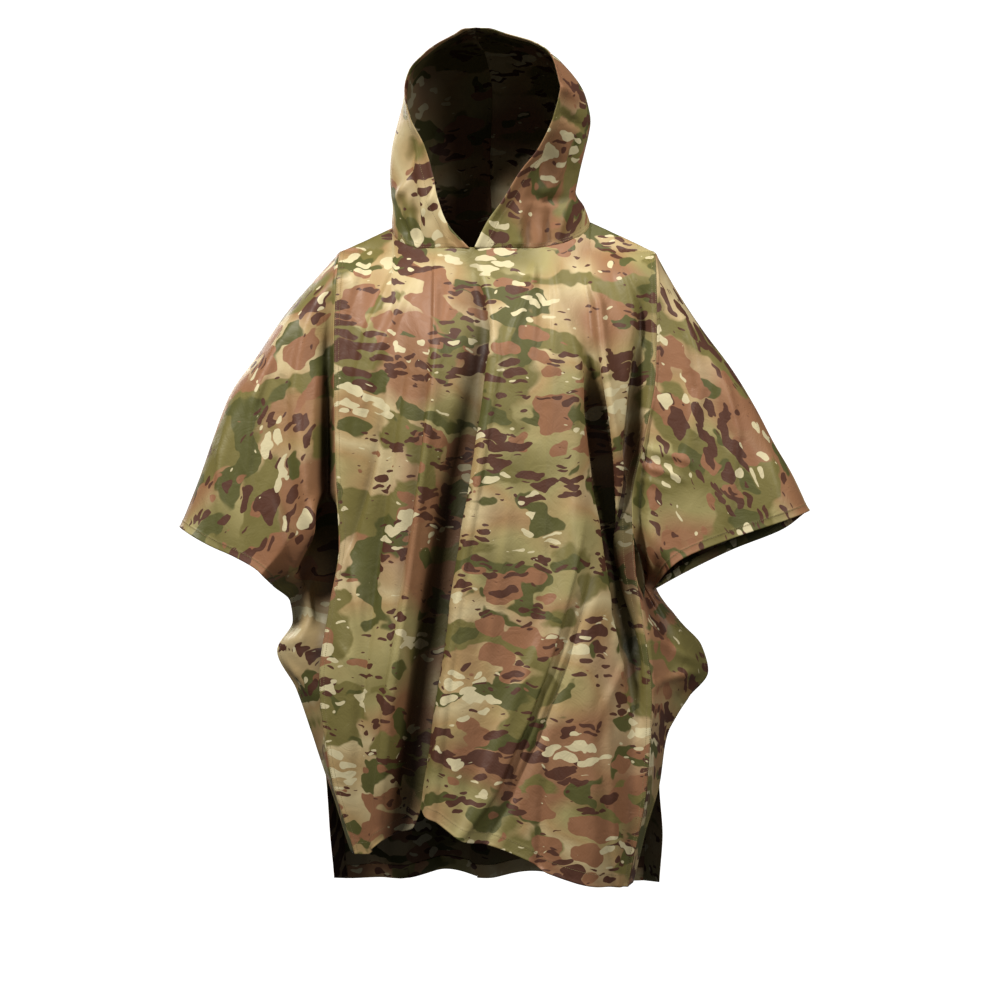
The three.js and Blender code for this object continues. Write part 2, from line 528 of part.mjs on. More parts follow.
function hoodAndOn(side, h, w) {
  const here = h > 2 || w > 1 ? other[side] : side;
  return hoodPoint(here, h > 2 ? 4 - h : Math.max(0, h), w > 1 ? 2 - w : Math.max(0, w));
}

const turnedUnder = { thick: HEM_CLOTH, lift: -(CLOTH / 2 + LAY_GAP + HEM_CLOTH / 2) };

function panelWall(face, rows, options) {
  const point = (c, v) => panelAndOn(face, c, v);
  return sheetWall(point, PANEL_COLUMNS[face], rows, { flip: face === 'front', ...options });
}

// Share of a gore's width that its sleeve hem takes, so that the hem is as wide all along the opening
function hemShare(side, r) {
  const face = r >= 0 ? 'front' : 'back';
  const v = Math.min(Math.abs(r), UNDERARM_V);
  const { seam } = gorePlane(side, face, 0, v);
  const end = gorePoint(side, 1, r >= 0 ? v : -v);
  return HEM_WIDTH / seam.distanceTo(end);
}

// A gore's own grid: k runs from the seam (0) to the hem's inner edge (GORE_STEPS - 1) and the outer edge
function goreGrid(side, k, r) {
  const inner = 1 - hemShare(side, r);
  const a = k <= GORE_STEPS - 1 ? (inner * k) / (GORE_STEPS - 1) : mix(inner, 1, k - GORE_STEPS + 1);
  return goreAndOn(side, a, r);
}

function goreWall(side, columns, rows, options) {
  const point = (k, r) => goreGrid(side, Math.min(k, GORE_STEPS), r);
  return sheetWall(point, columns, rows, { flip: side === 'right', ...options });
}

function hoodWall(side, columns, rows, options) {
  const point = (h, w) => {
    const place = hoodAndOn(side, h, w);
    place.z += HOOD_SEAT;
    return place;
  };
  return sheetWall(point, columns, rows, { flip: side === 'right', ...options });
}

const bothWays = (rows) => [...rows.slice(1).map((v) => -v).reverse(), ...rows];

for (const face of ['front', 'back']) {
  addPiece(`${face}_panel`, panelWall(face, BODY_ROWS, { seams: ['firstColumn', 'lastColumn', 'firstRow'] }));
  addPiece(`${face}_hem`, panelWall(face, [HEM_V, 1], { ...turnedUnder, seams: ['firstColumn', 'lastColumn'] }), HEM_COLOUR);
}

for (const side of ['left', 'right']) {
  const rows = bothWays(BODY_ROWS);
  const opening = rows.filter((r) => Math.abs(r) <= UNDERARM_V);
  addPiece(`sleeve_${side}`, goreWall(side, steps(0, GORE_STEPS, GORE_STEPS), rows, { seams: ['firstColumn'] }));
  addPiece(`sleeve_hem_${side}`, goreWall(side, [GORE_STEPS - 1, GORE_STEPS], opening.slice(1, -1), turnedUnder), HEM_COLOUR);
}

for (const side of ['left', 'right']) {
  addPiece(`hood_${side}`, hoodWall(side, HOOD_COLUMNS, HOOD_ROWS, { seams: ['lastColumn', 'lastRow'] }));
}

// The turned rim runs up the left half's face edge, over the top and down the right half's.
function rimPoint(h, r) {
  const place = hoodAndOn(r < 0 ? 'left' : 'right', h, 1 - Math.min(1, Math.abs(r)));
  place.z += HOOD_SEAT;
  return place;
}
const rimRows = bothWays(HOOD_ROWS.map((w) => 1 - w).reverse());
addPiece('hood_rim', sheetWall(rimPoint, RIM_COLUMNS, rimRows, { ...turnedUnder, flip: true }), HEM_COLOUR);

export default poncho;
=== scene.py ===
# %% [markdown]
# # A hooded rain poncho, worn
#
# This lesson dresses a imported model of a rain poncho. The real one is cut from thin coated polyester: a front
# and a back panel, a gore with a wide sleeve at each side, and a large hood of two halves. It hangs from the
# wearer's shoulders, so most of what we look at is how loose cloth falls: long folds, sharp packing creases and
# small tension wrinkles where a seam pulls.
#
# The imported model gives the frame. Each piece of cloth is built again here, finer and thinner, on the same
# surface, and the plain solid it stands for is hidden.

import json

import bpy
import numpy as np
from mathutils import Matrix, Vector


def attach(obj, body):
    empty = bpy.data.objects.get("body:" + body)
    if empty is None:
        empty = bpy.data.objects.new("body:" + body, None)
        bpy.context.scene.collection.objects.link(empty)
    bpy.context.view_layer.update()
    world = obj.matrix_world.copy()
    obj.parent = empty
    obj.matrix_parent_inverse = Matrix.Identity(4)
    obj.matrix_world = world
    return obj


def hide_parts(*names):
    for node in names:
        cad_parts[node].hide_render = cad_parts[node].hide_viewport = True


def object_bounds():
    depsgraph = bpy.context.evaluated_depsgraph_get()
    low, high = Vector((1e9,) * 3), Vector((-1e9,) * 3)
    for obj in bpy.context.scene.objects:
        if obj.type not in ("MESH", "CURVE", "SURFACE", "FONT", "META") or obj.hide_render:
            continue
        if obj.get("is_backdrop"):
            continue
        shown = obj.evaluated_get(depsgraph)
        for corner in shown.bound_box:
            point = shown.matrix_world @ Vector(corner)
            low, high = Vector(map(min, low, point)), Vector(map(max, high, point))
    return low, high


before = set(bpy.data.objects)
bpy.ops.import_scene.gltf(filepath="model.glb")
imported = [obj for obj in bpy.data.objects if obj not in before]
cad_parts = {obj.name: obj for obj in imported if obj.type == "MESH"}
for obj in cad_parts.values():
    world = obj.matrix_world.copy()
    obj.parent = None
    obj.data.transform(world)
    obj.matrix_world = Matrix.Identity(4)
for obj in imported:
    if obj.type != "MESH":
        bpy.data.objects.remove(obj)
cad_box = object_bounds()
print("CAD nodes:", sorted(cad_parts))

# %% [markdown]
# ## Tables and smooth lines
#
# Tailors draw a garment from a few measured points joined by fair curves. A table here does the same: its first
# column is what we look up by, such as a height, and the others follow it without overshooting between rows.
# A spline through the points would be smooth too, but it swings past them, and that shows as bumps in a seam.

# %% A table that is looked up smoothly
MM = 0.001


def track(columns, rows):
    names = columns.split()
    data = np.array(sorted(rows), float)
    keys = data[:, 0]
    step = np.diff(data, axis=0) / np.diff(keys)[:, None]
    slope = np.vstack([step[:1], np.zeros_like(step[1:]), step[-1:]])
    before, after = step[:-1], step[1:]
    same_way = before * after > 0
    slope[1:-1] = np.where(same_way, 2 * before * after / np.where(same_way, before + after, 1), 0)

    def at(key, name):
        column = names.index(name)
        key = np.clip(key, keys[0], keys[-1])
        i = np.clip(np.searchsorted(keys, key, side="right") - 1, 0, len(keys) - 2)
        width = keys[i + 1] - keys[i]
        t = (key - keys[i]) / width
        y, m = data[:, column], slope[:, column]
        near = (1 + 2 * t) * (1 - t) ** 2 * y[i] + t * (1 - t) ** 2 * width * m[i]
        far = t * t * (3 - 2 * t) * y[i + 1] + t * t * (t - 1) * width * m[i + 1]
        return near + far

    return at


def mix(a, b, t):
    return a + (b - a) * t


def ease(t):
    t = np.clip(t, 0, 1)
    return t * t * (3 - 2 * t)


def bell(s):
    return np.exp(-s * s)


def quarter_round(q):
    q = np.clip(q, 0, 1)
    return np.sqrt(q * (2 - q))


# %% [markdown]
# ## The pattern's lines
#
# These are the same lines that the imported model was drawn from, in millimetres: the ridge of the cloth over
# each arm, the straight seams between panel and gore, the sleeve openings, the side seams and the hems. The
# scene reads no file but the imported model, so they are written out again.

# %% Ridge over the arms, straight seams and openings
ARM = {
    "left": track("a x z", [
        (0, -270, -4), (0.13, -316, -56), (0.25, -364, -112), (0.4, -419, -193), (0.54, -466, -261),
        (0.68, -495, -337), (0.82, -520, -410), (1, -554, -497)]),
    "right": track("a x z", [
        (0, 296, -5), (0.14, 333, -70), (0.3, 380, -142), (0.47, 436, -218), (0.61, 477, -286),
        (0.74, 508, -346), (0.87, 542, -405), (1, 571, -468)]),
}
SEAM_X = {
    ("left", "front"): track("z x", [
        (-4, -270), (-167, -277), (-389, -274), (-517, -266), (-640, -286), (-765, -303), (-918, -286),
        (-1078, -240)]),
    ("left", "back"): track("z x", [
        (-4, -270), (-200, -284), (-520, -288), (-765, -296), (-960, -276), (-1150, -262)]),
    ("right", "front"): track("z x", [
        (-5, 296), (-133, 297), (-218, 295), (-337, 275), (-450, 252), (-558, 257), (-648, 270), (-800, 288),
        (-950, 280), (-1136, 245)]),
    ("right", "back"): track("z x", [
        (-5, 296), (-200, 304), (-520, 298), (-765, 304), (-960, 288), (-1150, 282)]),
}
CUFF = {
    ("left", "front"): track("v x z", [
        (0, -554, -497), (0.16, -500, -528), (0.3, -450, -551), (0.43, -409, -577), (0.52, -391, -606)]),
    ("left", "back"): track("v x z", [
        (0, -554, -497), (0.16, -506, -516), (0.34, -450, -538), (0.45, -412, -570), (0.52, -391, -606)]),
    ("right", "front"): track("v x z", [
        (0, 571, -468), (0.1, 508, -490), (0.24, 420, -520), (0.39, 331, -560), (0.52, 292, -612)]),
    ("right", "back"): track("v x z", [
        (0, 571, -468), (0.1, 535, -499), (0.24, 434, -541), (0.39, 345, -584), (0.52, 292, -612)]),
}
UNDERARM_V = 0.52
VENT_V = 0.86

# %% Side seams, vents and bottom edges
LEFT_SIDE = [
    (0.52, -391, -606), (0.55, -361, -632), (0.59, -356, -668), (0.645, -384, -722), (0.71, -350, -790),
    (0.78, -324, -864), (0.86, -297, -945)]
RIGHT_SIDE = [
    (0.52, 292, -612), (0.56, 345, -672), (0.6, 382, -713), (0.64, 394, -758), (0.7, 352, -812),
    (0.77, 318, -878), (0.86, 306, -965)]
SIDE = {
    ("left", "front"): track("v x z", LEFT_SIDE + [(0.92, -276, -1004), (1, -250, -1080)]),
    ("left", "back"): track("v x z", LEFT_SIDE + [(0.93, -290, -1060), (1, -284, -1140)]),
    ("right", "front"): track("v x z", RIGHT_SIDE + [(0.93, 280, -1050), (1, 257, -1136)]),
    ("right", "back"): track("v x z", RIGHT_SIDE + [(0.93, 313, -1060), (1, 308, -1148)]),
}
HEM_Z = {
    "front": track("c z", [
        (-1, -1078), (-0.9, -1076), (-0.8, -1050), (-0.63, -1034), (-0.57, -984), (-0.4, -1012), (-0.2, -1046),
        (-0.08, -1050), (0.28, -1084), (0.4, -1104), (0.75, -1130), (1, -1136)]),
    "back": track("c z", [
        (-1, -1146), (-0.6, -1150), (-0.35, -1140), (0, -1152), (0.3, -1142), (0.65, -1156), (1, -1150)]),
}
PANEL_DEPTH = {
    "front": track("z y", [(60, -100), (-60, -146), (-200, -170), (-600, -176), (-1100, -182)]),
    "back": track("z y", [(60, 118), (-60, 150), (-200, 168), (-600, 172), (-1150, 184)]),
}

# %% [markdown]
# ## Long folds
#
# A loose panel that hangs from the shoulders falls in a few deep folds, and each keeps its own line down to the
# hem. A fold is a row of this table: where its line runs at six heights, how far it stands out there (a valley
# is negative), its half width, and how much steeper one flank is than the other.

# %% Folds of the front and back panel
FOLD_LEVELS = [0, -200, -400, -600, -800, -1060]
FOLDS = {
    "front": [
        ("centre valley", [-31, -16, -52, -81, -111, -147], [-2, -8, -14, -20, -24, -26], 15, 0.5),
        ("centre pleat", [-4, 20, -14, -44, -72, -102], [1, 8, 14, 20, 26, 32], 36, -0.35),
        ("left pleat", [-101, -103, -124, -156, -180, -204], [5, 9, 13, 17, 19, 20], 26, 0.3),
        ("left valley", [-140, -152, -178, -206, -226, -236], [0, -4, -8, -11, -12, -10], 22, 0),
        ("left edge roll", [-235, -244, -246, -254, -268, -250], [0, 5, 9, 10, 9, 6], 24, 0),
        ("crossing crease", [150, 162, 160, 126, 48, -50], [0, 2, 6, 13, 15, 12], 30, -0.5),
        ("crossing valley", [188, 196, 190, 154, 78, -18], [0, 0, -3, -9, -13, -12], 20, 0),
        ("deep right valley", [166, 178, 196, 229, 256, 244], [-3, -15, -34, -36, -22, -8], 17, 0.25),
        ("right strip pleat", [186, 206, 226, 249, 282, 290], [4, 12, 20, 20, 6, 0], 17, 0),
        ("right hem pleat", [120, 128, 136, 160, 176, 186], [0, 0, 3, 9, 15, 21], 30, 0.2),
        ("short chest fold", [106, 109, 112, 112, 112, 112], [4, 5, 0, 0, 0, 0], 13, 0),
    ],
    "back": [
        ("left blade fold", [-150, -168, -186, -196, -204, -210], [2, 10, 16, 20, 22, 24], 34, 0.2),
        ("left back valley", [-96, -106, -120, -132, -140, -146], [-1, -8, -15, -20, -22, -24], 26, 0),
        ("middle left fold", [-40, -44, -54, -66, -76, -84], [3, 9, 15, 20, 24, 26], 32, -0.2),
        ("middle valley", [14, 12, 4, -2, -8, -12], [-2, -7, -12, -18, -22, -24], 24, 0.2),
        ("middle right fold", [62, 70, 68, 62, 58, 56], [2, 8, 14, 18, 22, 26], 34, 0.3),
        ("right back valley", [116, 134, 142, 140, 136, 134], [-1, -7, -13, -16, -20, -22], 25, 0),
        ("right blade fold", [164, 188, 208, 214, 216, 218], [2, 10, 17, 20, 22, 24], 36, -0.2),
    ],
}


def folds_out(face, x, z):
    out = np.zeros_like(x)
    for _, line, height, width, lean in FOLDS[face]:
        at = track("z x out", list(zip(FOLD_LEVELS, line, height)))
        s = (x - at(z, "x")) / width
        out += at(z, "out") * bell(s * np.where(s > 0, 1 + lean, 1 - lean))
    return out


# %% [markdown]
# ## The hood's sections
#
# The hood is two mirror-cut halves sewn from the crown down the back. Worn over a round hard head cover it
# stands open like a shell. Each row is a level section from the neck up: how far each half reaches to its side,
# where the face edge is, and how deep the widest place and the back lie.

# %% Hood sections
HOOD = track("w z outLeft rimLeft rimRight outRight rimLeftY rimRightY wideY backY", [
    (0, 0, -176, -35, -29, 180, -101, -103, 15, 118),
    (0.1, 47, -173, -76, -6, 169, -91, -101, 12, 124),
    (0.19, 88, -176, -91, 23, 151, -84, -100, 10, 131),
    (0.28, 130, -178, -100, 48, 156, -80, -103, 8, 145),
    (0.39, 180, -175, -114, 86, 169, -82, -113, 6, 160),
    (0.5, 234, -163, -140, 111, 180, -90, -127, 5, 171),
    (0.6, 283, -152, -149, 121, 169, -99, -141, 0, 168),
    (0.69, 320, -143, -141, 115, 147, -107, -148, -10, 155),
    (0.78, 350, -120, -118, 104, 118, -115, -151, -22, 132),
    (0.86, 372, -91, -90, 74, 82, -123, -151, -34, 106),
    (0.93, 388, -60, -59, 22, 34, -132, -146, -44, 76),
    (0.97, 397, -44, -43.5, -5, 0, -136, -142, -50, 58),
    (1, 400, -25, -25, -25, -25, -139, -139, -54, 44)])
HOOD_MIDDLE = track("z x", [(0, 4), (150, 0), (300, 4), (372, -8), (400, -25)])
NECK_SIDE_Z = {"left": 40, "right": 50}
NECK_BACK_Z = 60
NECK_LEVEL = {"left": 0.62, "right": 0.7}
HOOD_SETTLE = 200
NECK_SHARE = 0.62


def hood_half(side, h, w):
    """x, y, z of one half: h from the face edge (0) over the widest place (1) to the middle of the back (2)."""
    cap = side.capitalize()
    level, out, wide = HOOD(w, "z"), HOOD(w, "out" + cap), HOOD(w, "wideY")
    q = 0.5 * (1 - np.minimum(h, 1) + np.sqrt(1 - np.minimum(h, 1)))
    face_x = out + (HOOD(w, "rim" + cap) - out) * q * q
    face_y = wide + (HOOD(w, "rim" + cap + "Y") - wide) * q
    face_rise = NECK_SIDE_Z[side] * np.maximum(0, 1 - q / NECK_LEVEL[side]) ** 1.3
    turn = (np.maximum(h, 1) - 1) * np.pi / 2
    middle = HOOD_MIDDLE(level, "x")
    back_x = middle + (out - middle) * np.maximum(np.cos(turn), 0) ** 0.85
    back_y = wide + (HOOD(w, "backY") - wide) * np.sin(turn) ** 0.95
    back_rise = mix(NECK_SIDE_Z[side], NECK_BACK_Z, np.sin(turn))
    left = np.maximum(0, 1 - level / HOOD_SETTLE) ** 1.5
    x = np.where(h <= 1, face_x, back_x)
    y = np.where(h <= 1, face_y, back_y)
    z = level + np.where(h <= 1, face_rise, back_rise) * left
    return np.stack([x, y, z], -1)


# %% [markdown]
# ## Surfaces of the panels and gores
#
# A panel is known by c, from its left seam (-1) to its right seam (1), and v, from the shoulder (0) to the hem
# (1). Its outline seen from the front comes from the seams, its depth from the fall of cloth over a shoulder,
# and the folds are added on top. A gore runs from the seam (a 0) to the sleeve's edge (a 1), and goes round the
# arm from the back hem (r -1) over the ridge (r 0) to the front hem (r 1).

# %% Panel surface
ARM_ROUND = 60
SHOULDER_FALL = 75
WRIST_FALL = 58
CHEST_FALL = 30
CHEST_SLOPE = 95
SIDE_Y = 10


def ridge_y(a):
    return mix(5, -42, a)


def fall(a, drop):
    """How far cloth has come forward of the ridge at a distance below it."""
    down = np.maximum(0, drop)
    over = mix(SHOULDER_FALL, WRIST_FALL, a) * quarter_round(down / mix(ARM_ROUND, 48, a))
    return over + CHEST_FALL * (1 - a) * (1 - np.exp(-down / 200))


def top_edge(face, c):
    """Shoulder, neck line, shoulder."""
    share = np.abs(c) / NECK_SHARE
    h = np.minimum(share, 1) if face == "front" else 2 - np.minimum(share, 1)
    t = ((np.abs(c) - NECK_SHARE) / (1 - NECK_SHARE))[..., None]
    made = []
    for side in ("left", "right"):
        neck = hood_half(side, h, np.zeros_like(h))
        side_neck = hood_half(side, np.ones_like(h), np.zeros_like(h))
        tip = np.array([ARM[side](0, "x"), ridge_y(0), ARM[side](0, "z")])
        made.append(np.where(share[..., None] <= 1, neck, mix(side_neck, tip, t)))
    return np.where(c[..., None] < 0, made[0], made[1])


def panel_surface(face, c, v):
    top = top_edge(face, c)
    even = mix(HEM_Z[face](-1, "z"), HEM_Z[face](1, "z"), (c + 1) / 2)
    seam_z = mix(top[..., 2], even, v)
    z = seam_z + (HEM_Z[face](c, "z") - even) * ease((v - 0.72) / 0.28)
    across = mix(SEAM_X["left", face](seam_z, "x"), SEAM_X["right", face](seam_z, "x"), (c + 1) / 2)
    edge = np.abs(c) ** 6
    x = mix(top[..., 0], across, mix(ease(v / 0.3), 1, edge))
    out = -1 if face == "front" else 1
    down = top[..., 2] - z
    seam_y = ridge_y(0) + out * fall(0, ARM["left"](0, "z") - z)
    full = mix(seam_y, PANEL_DEPTH[face](z, "y"), 1 - np.abs(c) ** 2.4)
    shoulder = quarter_round(down / mix(95, ARM_ROUND, np.abs(c)))
    chest = 1 - np.exp(-down / CHEST_SLOPE)
    fallen = mix(chest, shoulder, ease((np.abs(c) - NECK_SHARE) / (1 - NECK_SHARE)))
    base = mix(mix(top[..., 1], full, fallen), seam_y, edge)
    fade = ease(down / 60) * (1 - edge)
    return np.stack([x, base + out * folds_out(face, x, z) * fade, z], -1)


# %% Gore surface
VENT_PART = {"front": 44, "back": 56}
SEAM_HALF = 1.2
CREASE_V = {"left": (0.37, 0.44), "right": (0.4, 0.4)}
RECESS = {("left", "front"): 46, ("left", "back"): 18, ("right", "front"): 40, ("right", "back"): 18}


def gore_half(side, face, a, v):
    """The front or back half of a gore."""
    end = -1.0 if side == "left" else 1.0
    seam = panel_surface(face, np.full_like(v, end), v)
    low = panel_surface(face, np.array(end), np.array(UNDERARM_V))
    w = v / UNDERARM_V
    place = []
    for axis, name in ((0, "x"), (2, "z")):
        corners = [ARM[side](0, name), ARM[side](1, name), low[axis], CUFF[side, face](UNDERARM_V, name)]
        coons = (
            (1 - w) * ARM[side](a, name) + w * mix(corners[2], corners[3], a)
            + (1 - a) * seam[..., axis] + a * CUFF[side, face](v, name)
            - (1 - w) * mix(corners[0], corners[1], a) - w * mix(corners[2], corners[3], a))
        ruled = mix(seam[..., axis], SIDE[side, face](v, name), a)
        place.append(np.where(v >= UNDERARM_V, ruled, coons))
    x, z = place
    out = -1 if face == "front" else 1
    down = np.hypot(ARM[side](a, "x") - x, ARM[side](a, "z") - z)
    sleeve = mix(seam[..., 1], ridge_y(a) + out * fall(a, down), ease(a / 0.25))
    vent = ease((v - VENT_V) / (1 - VENT_V)) * VENT_PART[face]
    edge_y = SIDE_Y + out * (SEAM_HALF + vent)
    inward = RECESS[side, face] * ease(a / 0.2) * bell((a - 0.3) / 0.24) * bell((v - 0.5) / 0.12)
    under = mix(seam[..., 1], edge_y, a) - out * inward
    crease = mix(*CREASE_V[side], a) if face == "front" else 0.38
    turned = ease((v - crease) / (UNDERARM_V - crease))
    return np.stack([x, mix(sleeve, under, turned), z], -1)


def gore_surface(side, a, r):
    front = gore_half(side, "front", a, np.abs(r))
    back = gore_half(side, "back", a, np.abs(r))
    return np.where(r[..., None] >= 0, front, back)


# %% [markdown]
# ## Creases and small relief
#
# Between the long folds there are the marks that tell thin coated cloth from wool: straight drag lines from the
# neck, pinched wrinkles beside a seam and flat creases from the packet. Each is drawn as a line with a
# height at every point, so that it swells and dies out as it runs. A noise alone would spread wrinkles evenly,
# and real ones never are.

# %% A crease along a line
def crease_height(x, z, lines):
    """Sum of the drawn creases: each line is (half width, lean, [(x, z, height), ...])."""
    out = np.zeros_like(x)
    for width, lean, points in lines:
        best = np.full_like(x, np.inf)
        height = np.zeros_like(x)
        side = np.zeros_like(x)
        for (x0, z0, h0), (x1, z1, h1) in zip(points, points[1:]):
            dx, dz = x1 - x0, z1 - z0
            long = np.hypot(dx, dz)
            t = np.clip(((x - x0) * dx + (z - z0) * dz) / long ** 2, 0, 1)
            away = np.hypot(x - x0 - t * dx, z - z0 - t * dz)
            nearer = away < best
            best = np.where(nearer, away, best)
            height = np.where(nearer, mix(h0, h1, t), height)
            side = np.where(nearer, np.sign((x - x0) * dz - (z - z0) * dx), side)
        out += height * bell(best / width * (1 + lean * side))
    return out


# %% Creases of each piece
FRONT_CREASES = [
    (10, 0.4, [(-150, -4, 0), (-176, -60, 8), (-214, -140, 10), (-240, -250, 3), (-250, -330, 0)]),
    (9, -0.3, [(-116, -16, 0), (-150, -90, 6), (-196, -190, 8), (-232, -300, 6), (-248, -400, 0)]),
    (7, 0.3, [(-205, 6, 0), (-232, -60, -4), (-254, -140, -3), (-264, -230, 0)]),
    (4, 0.6, [(-98, -18, 2), (-98, -80, 7), (-99, -140, 5), (-104, -200, 0)]),
    (15, -0.55, [(-37, -5, -8), (-11, -142, -24), (-27, -263, -32), (-47, -383, -38), (-63, -484, -42), (-83, -612, -44),
                  (-112, -800, -36), (-148, -1060, -24)]),
    (12, -0.55, [(-100, -150, 0), (-114, -263, -12), (-130, -383, -18), (-142, -484, -20), (-158, -612, -18), (-184, -800, 0)]),
    (12, -0.5, [(-187, -198, 0), (-200, -331, -14), (-220, -423, -18), (-250, -520, -12), (-262, -560, 0)]),
    (7, 0.4, [(80, -14, 0), (74, -50, 8), (58, -96, 9), (41, -142, 7), (24, -200, 0)]),
    (7, -0.5, [(106, -16, 0), (107, -80, -7), (107, -150, -6), (108, -200, 0)]),
    (13, 0, [(276, -60, 0), (272, -150, -24), (262, -300, -44), (250, -450, -52), (247, -560, -46), (260, -680, -20), (270, -760, 0)]),
    (8, -0.4, [(-6, -40, 0), (16, -200, 6), (-18, -400, 9), (-50, -600, 10), (-78, -800, 12), (-108, -1060, 13)]),
    (8, 0.5, [(-100, -150, 0), (-106, -260, 6), (-126, -400, 9), (-158, -600, 10), (-182, -800, 9), (-206, -1060, 8)]),
    (8, -0.3, [(-146, -170, 0), (-160, -260, -6), (-182, -400, -9), (-208, -600, -9), (-228, -800, -7), (-236, -1000, 0)]),
    (13, 0.25, [(172, -160, 0), (184, -280, -32), (204, -430, -46), (230, -585, -44), (250, -740, -24), (262, -880, 0)]),
    (8, 0, [(160, -20, 0), (192, -100, 10), (202, -220, 9), (228, -380, 10), (244, -500, 10), (276, -680, 5), (288, -740, 0)]),
    (7, -0.4, [(169, -470, 0), (150, -560, 9), (112, -700, 13), (60, -840, 13), (6, -960, 9), (-45, -1033, 4)]),
    (8, 0.3, [(192, -500, 0), (176, -600, -7), (138, -730, -11), (84, -870, -11), (26, -990, -7), (-10, -1040, 0)]),
    (8, 0.4, [(-60, -14, 0), (-66, -90, 3), (-88, -170, 4), (-112, -260, 0)]),
    (9, -0.4, [(70, -14, 0), (82, -80, 4), (76, -170, 3), (62, -260, 0)]),
    (9, 0.3, [(104, -14, 0), (120, -90, 4), (150, -190, 5), (176, -300, 0)]),
    (9, -0.3, [(198, 22, 0), (240, -60, 6), (272, -170, 6), (280, -300, 0)]),
    (6, 0.3, [(214, 18, 0), (262, -80, -4), (284, -180, 0)]),
    (7, 0, [(-279, -280, 0), (-277, -400, -20), (-276, -520, -26), (-283, -600, -14), (-292, -680, 0)]),
    (2.6, 0, [(-262, -219, 0.7), (-150, -217, 0.8), (0, -218, 0.6), (150, -217, 0.9), (280, -219, 0.5)]),
    (2.6, 0, [(-250, -628, 0.6), (-60, -630, 0.8), (120, -629, 0.7), (250, -630, 0.5)]),
    (2.4, 0, [(98, -40, 0.4), (99, -330, 0.8), (97, -640, 0.6), (98, -1060, 0.4)]),
    (12, 0.5, [(-8, -430, 0), (-30, -560, 4), (-52, -700, 6), (-62, -860, 5), (-70, -1030, 7)]),
    (10, 0.3, [(40, -300, 0), (34, -460, 3), (10, -640, 4), (-20, -800, 0)]),
    (12, -0.3, [(96, -420, 0), (90, -560, 4), (60, -700, 3), (20, -820, 0)]),
    (10, 0.4, [(210, -760, 0), (206, -880, 6), (214, -1000, 9), (220, -1130, 12)]),
    (9, -0.2, [(110, -860, 0), (96, -960, -5), (88, -1090, -8)]),
    (9, 0, [(246, -560, 0), (228, -640, -6), (206, -720, 0)]),
    (8, 0.3, [(266, -700, 0), (236, -740, 5), (204, -800, 3), (176, -880, 0)]),
    (9, 0.2, [(-262, -500, 0), (-244, -580, 5), (-226, -700, 4), (-214, -820, 0)]),
    (7, -0.2, [(-280, -690, 0), (-252, -720, 4), (-226, -780, 0)]),
]
BACK_CREASES = [
    (10, 0.3, [(-150, 10, 0), (-182, -70, 8), (-220, -170, 8), (-246, -300, 0)]),
    (10, -0.3, [(152, 20, 0), (196, -60, 9), (236, -160, 8), (262, -300, 0)]),
    (9, 0.3, [(-70, 40, 0), (-84, -60, 6), (-118, -190, 6), (-150, -320, 0)]),
    (9, -0.3, [(80, 40, 0), (98, -60, 6), (128, -180, 6), (164, -330, 0)]),
    (2.6, 0, [(-270, -219, 0.6), (-60, -217, 0.8), (120, -218, 0.7), (290, -219, 0.6)]),
    (2.6, 0, [(-280, -629, 0.7), (-40, -630, 0.6), (160, -629, 0.8), (290, -630, 0.5)]),
    (2.4, 0, [(4, 30, 0.5), (4, -400, 0.8), (5, -800, 0.6), (4, -1140, 0.5)]),
    (13, 0.4, [(-220, -520, 0), (-196, -640, 9), (-176, -800, 9), (-164, -960, 6), (-158, -1140, 12)]),
    (12, -0.4, [(230, -540, 0), (206, -660, 9), (180, -800, 8), (166, -980, 6), (160, -1150, 10)]),
    (10, 0.2, [(30, -420, 0), (16, -560, 6), (30, -760, 8), (36, -960, 0)]),
    (8, 0.3, [(-284, -600, 0), (-250, -640, 8), (-214, -720, 0)]),
    (8, -0.3, [(292, -620, 0), (256, -660, 8), (222, -740, 0)]),
    (16, -0.6, [(-96, 10, -4), (-112, -160, -12), (-130, -360, -18), (-144, -600, -22), (-152, -860, -20), (-158, -1120, -16)]),
    (16, 0.6, [(12, 20, -3), (4, -200, -12), (-2, -420, -16), (-10, -660, -20), (-16, -900, -22), (-20, -1130, -18)]),
    (15, -0.55, [(124, 10, -4), (138, -180, -11), (150, -380, -16), (154, -620, -20), (148, -880, -18), (142, -1120, -14)]),
    (10, 0.4, [(-44, -60, 0), (-60, -260, 7), (-76, -500, 9), (-90, -760, 8), (-100, -1000, 4)]),
    (10, -0.4, [(70, -60, 0), (78, -260, 7), (74, -520, 9), (66, -780, 8), (60, -1020, 4)]),
]
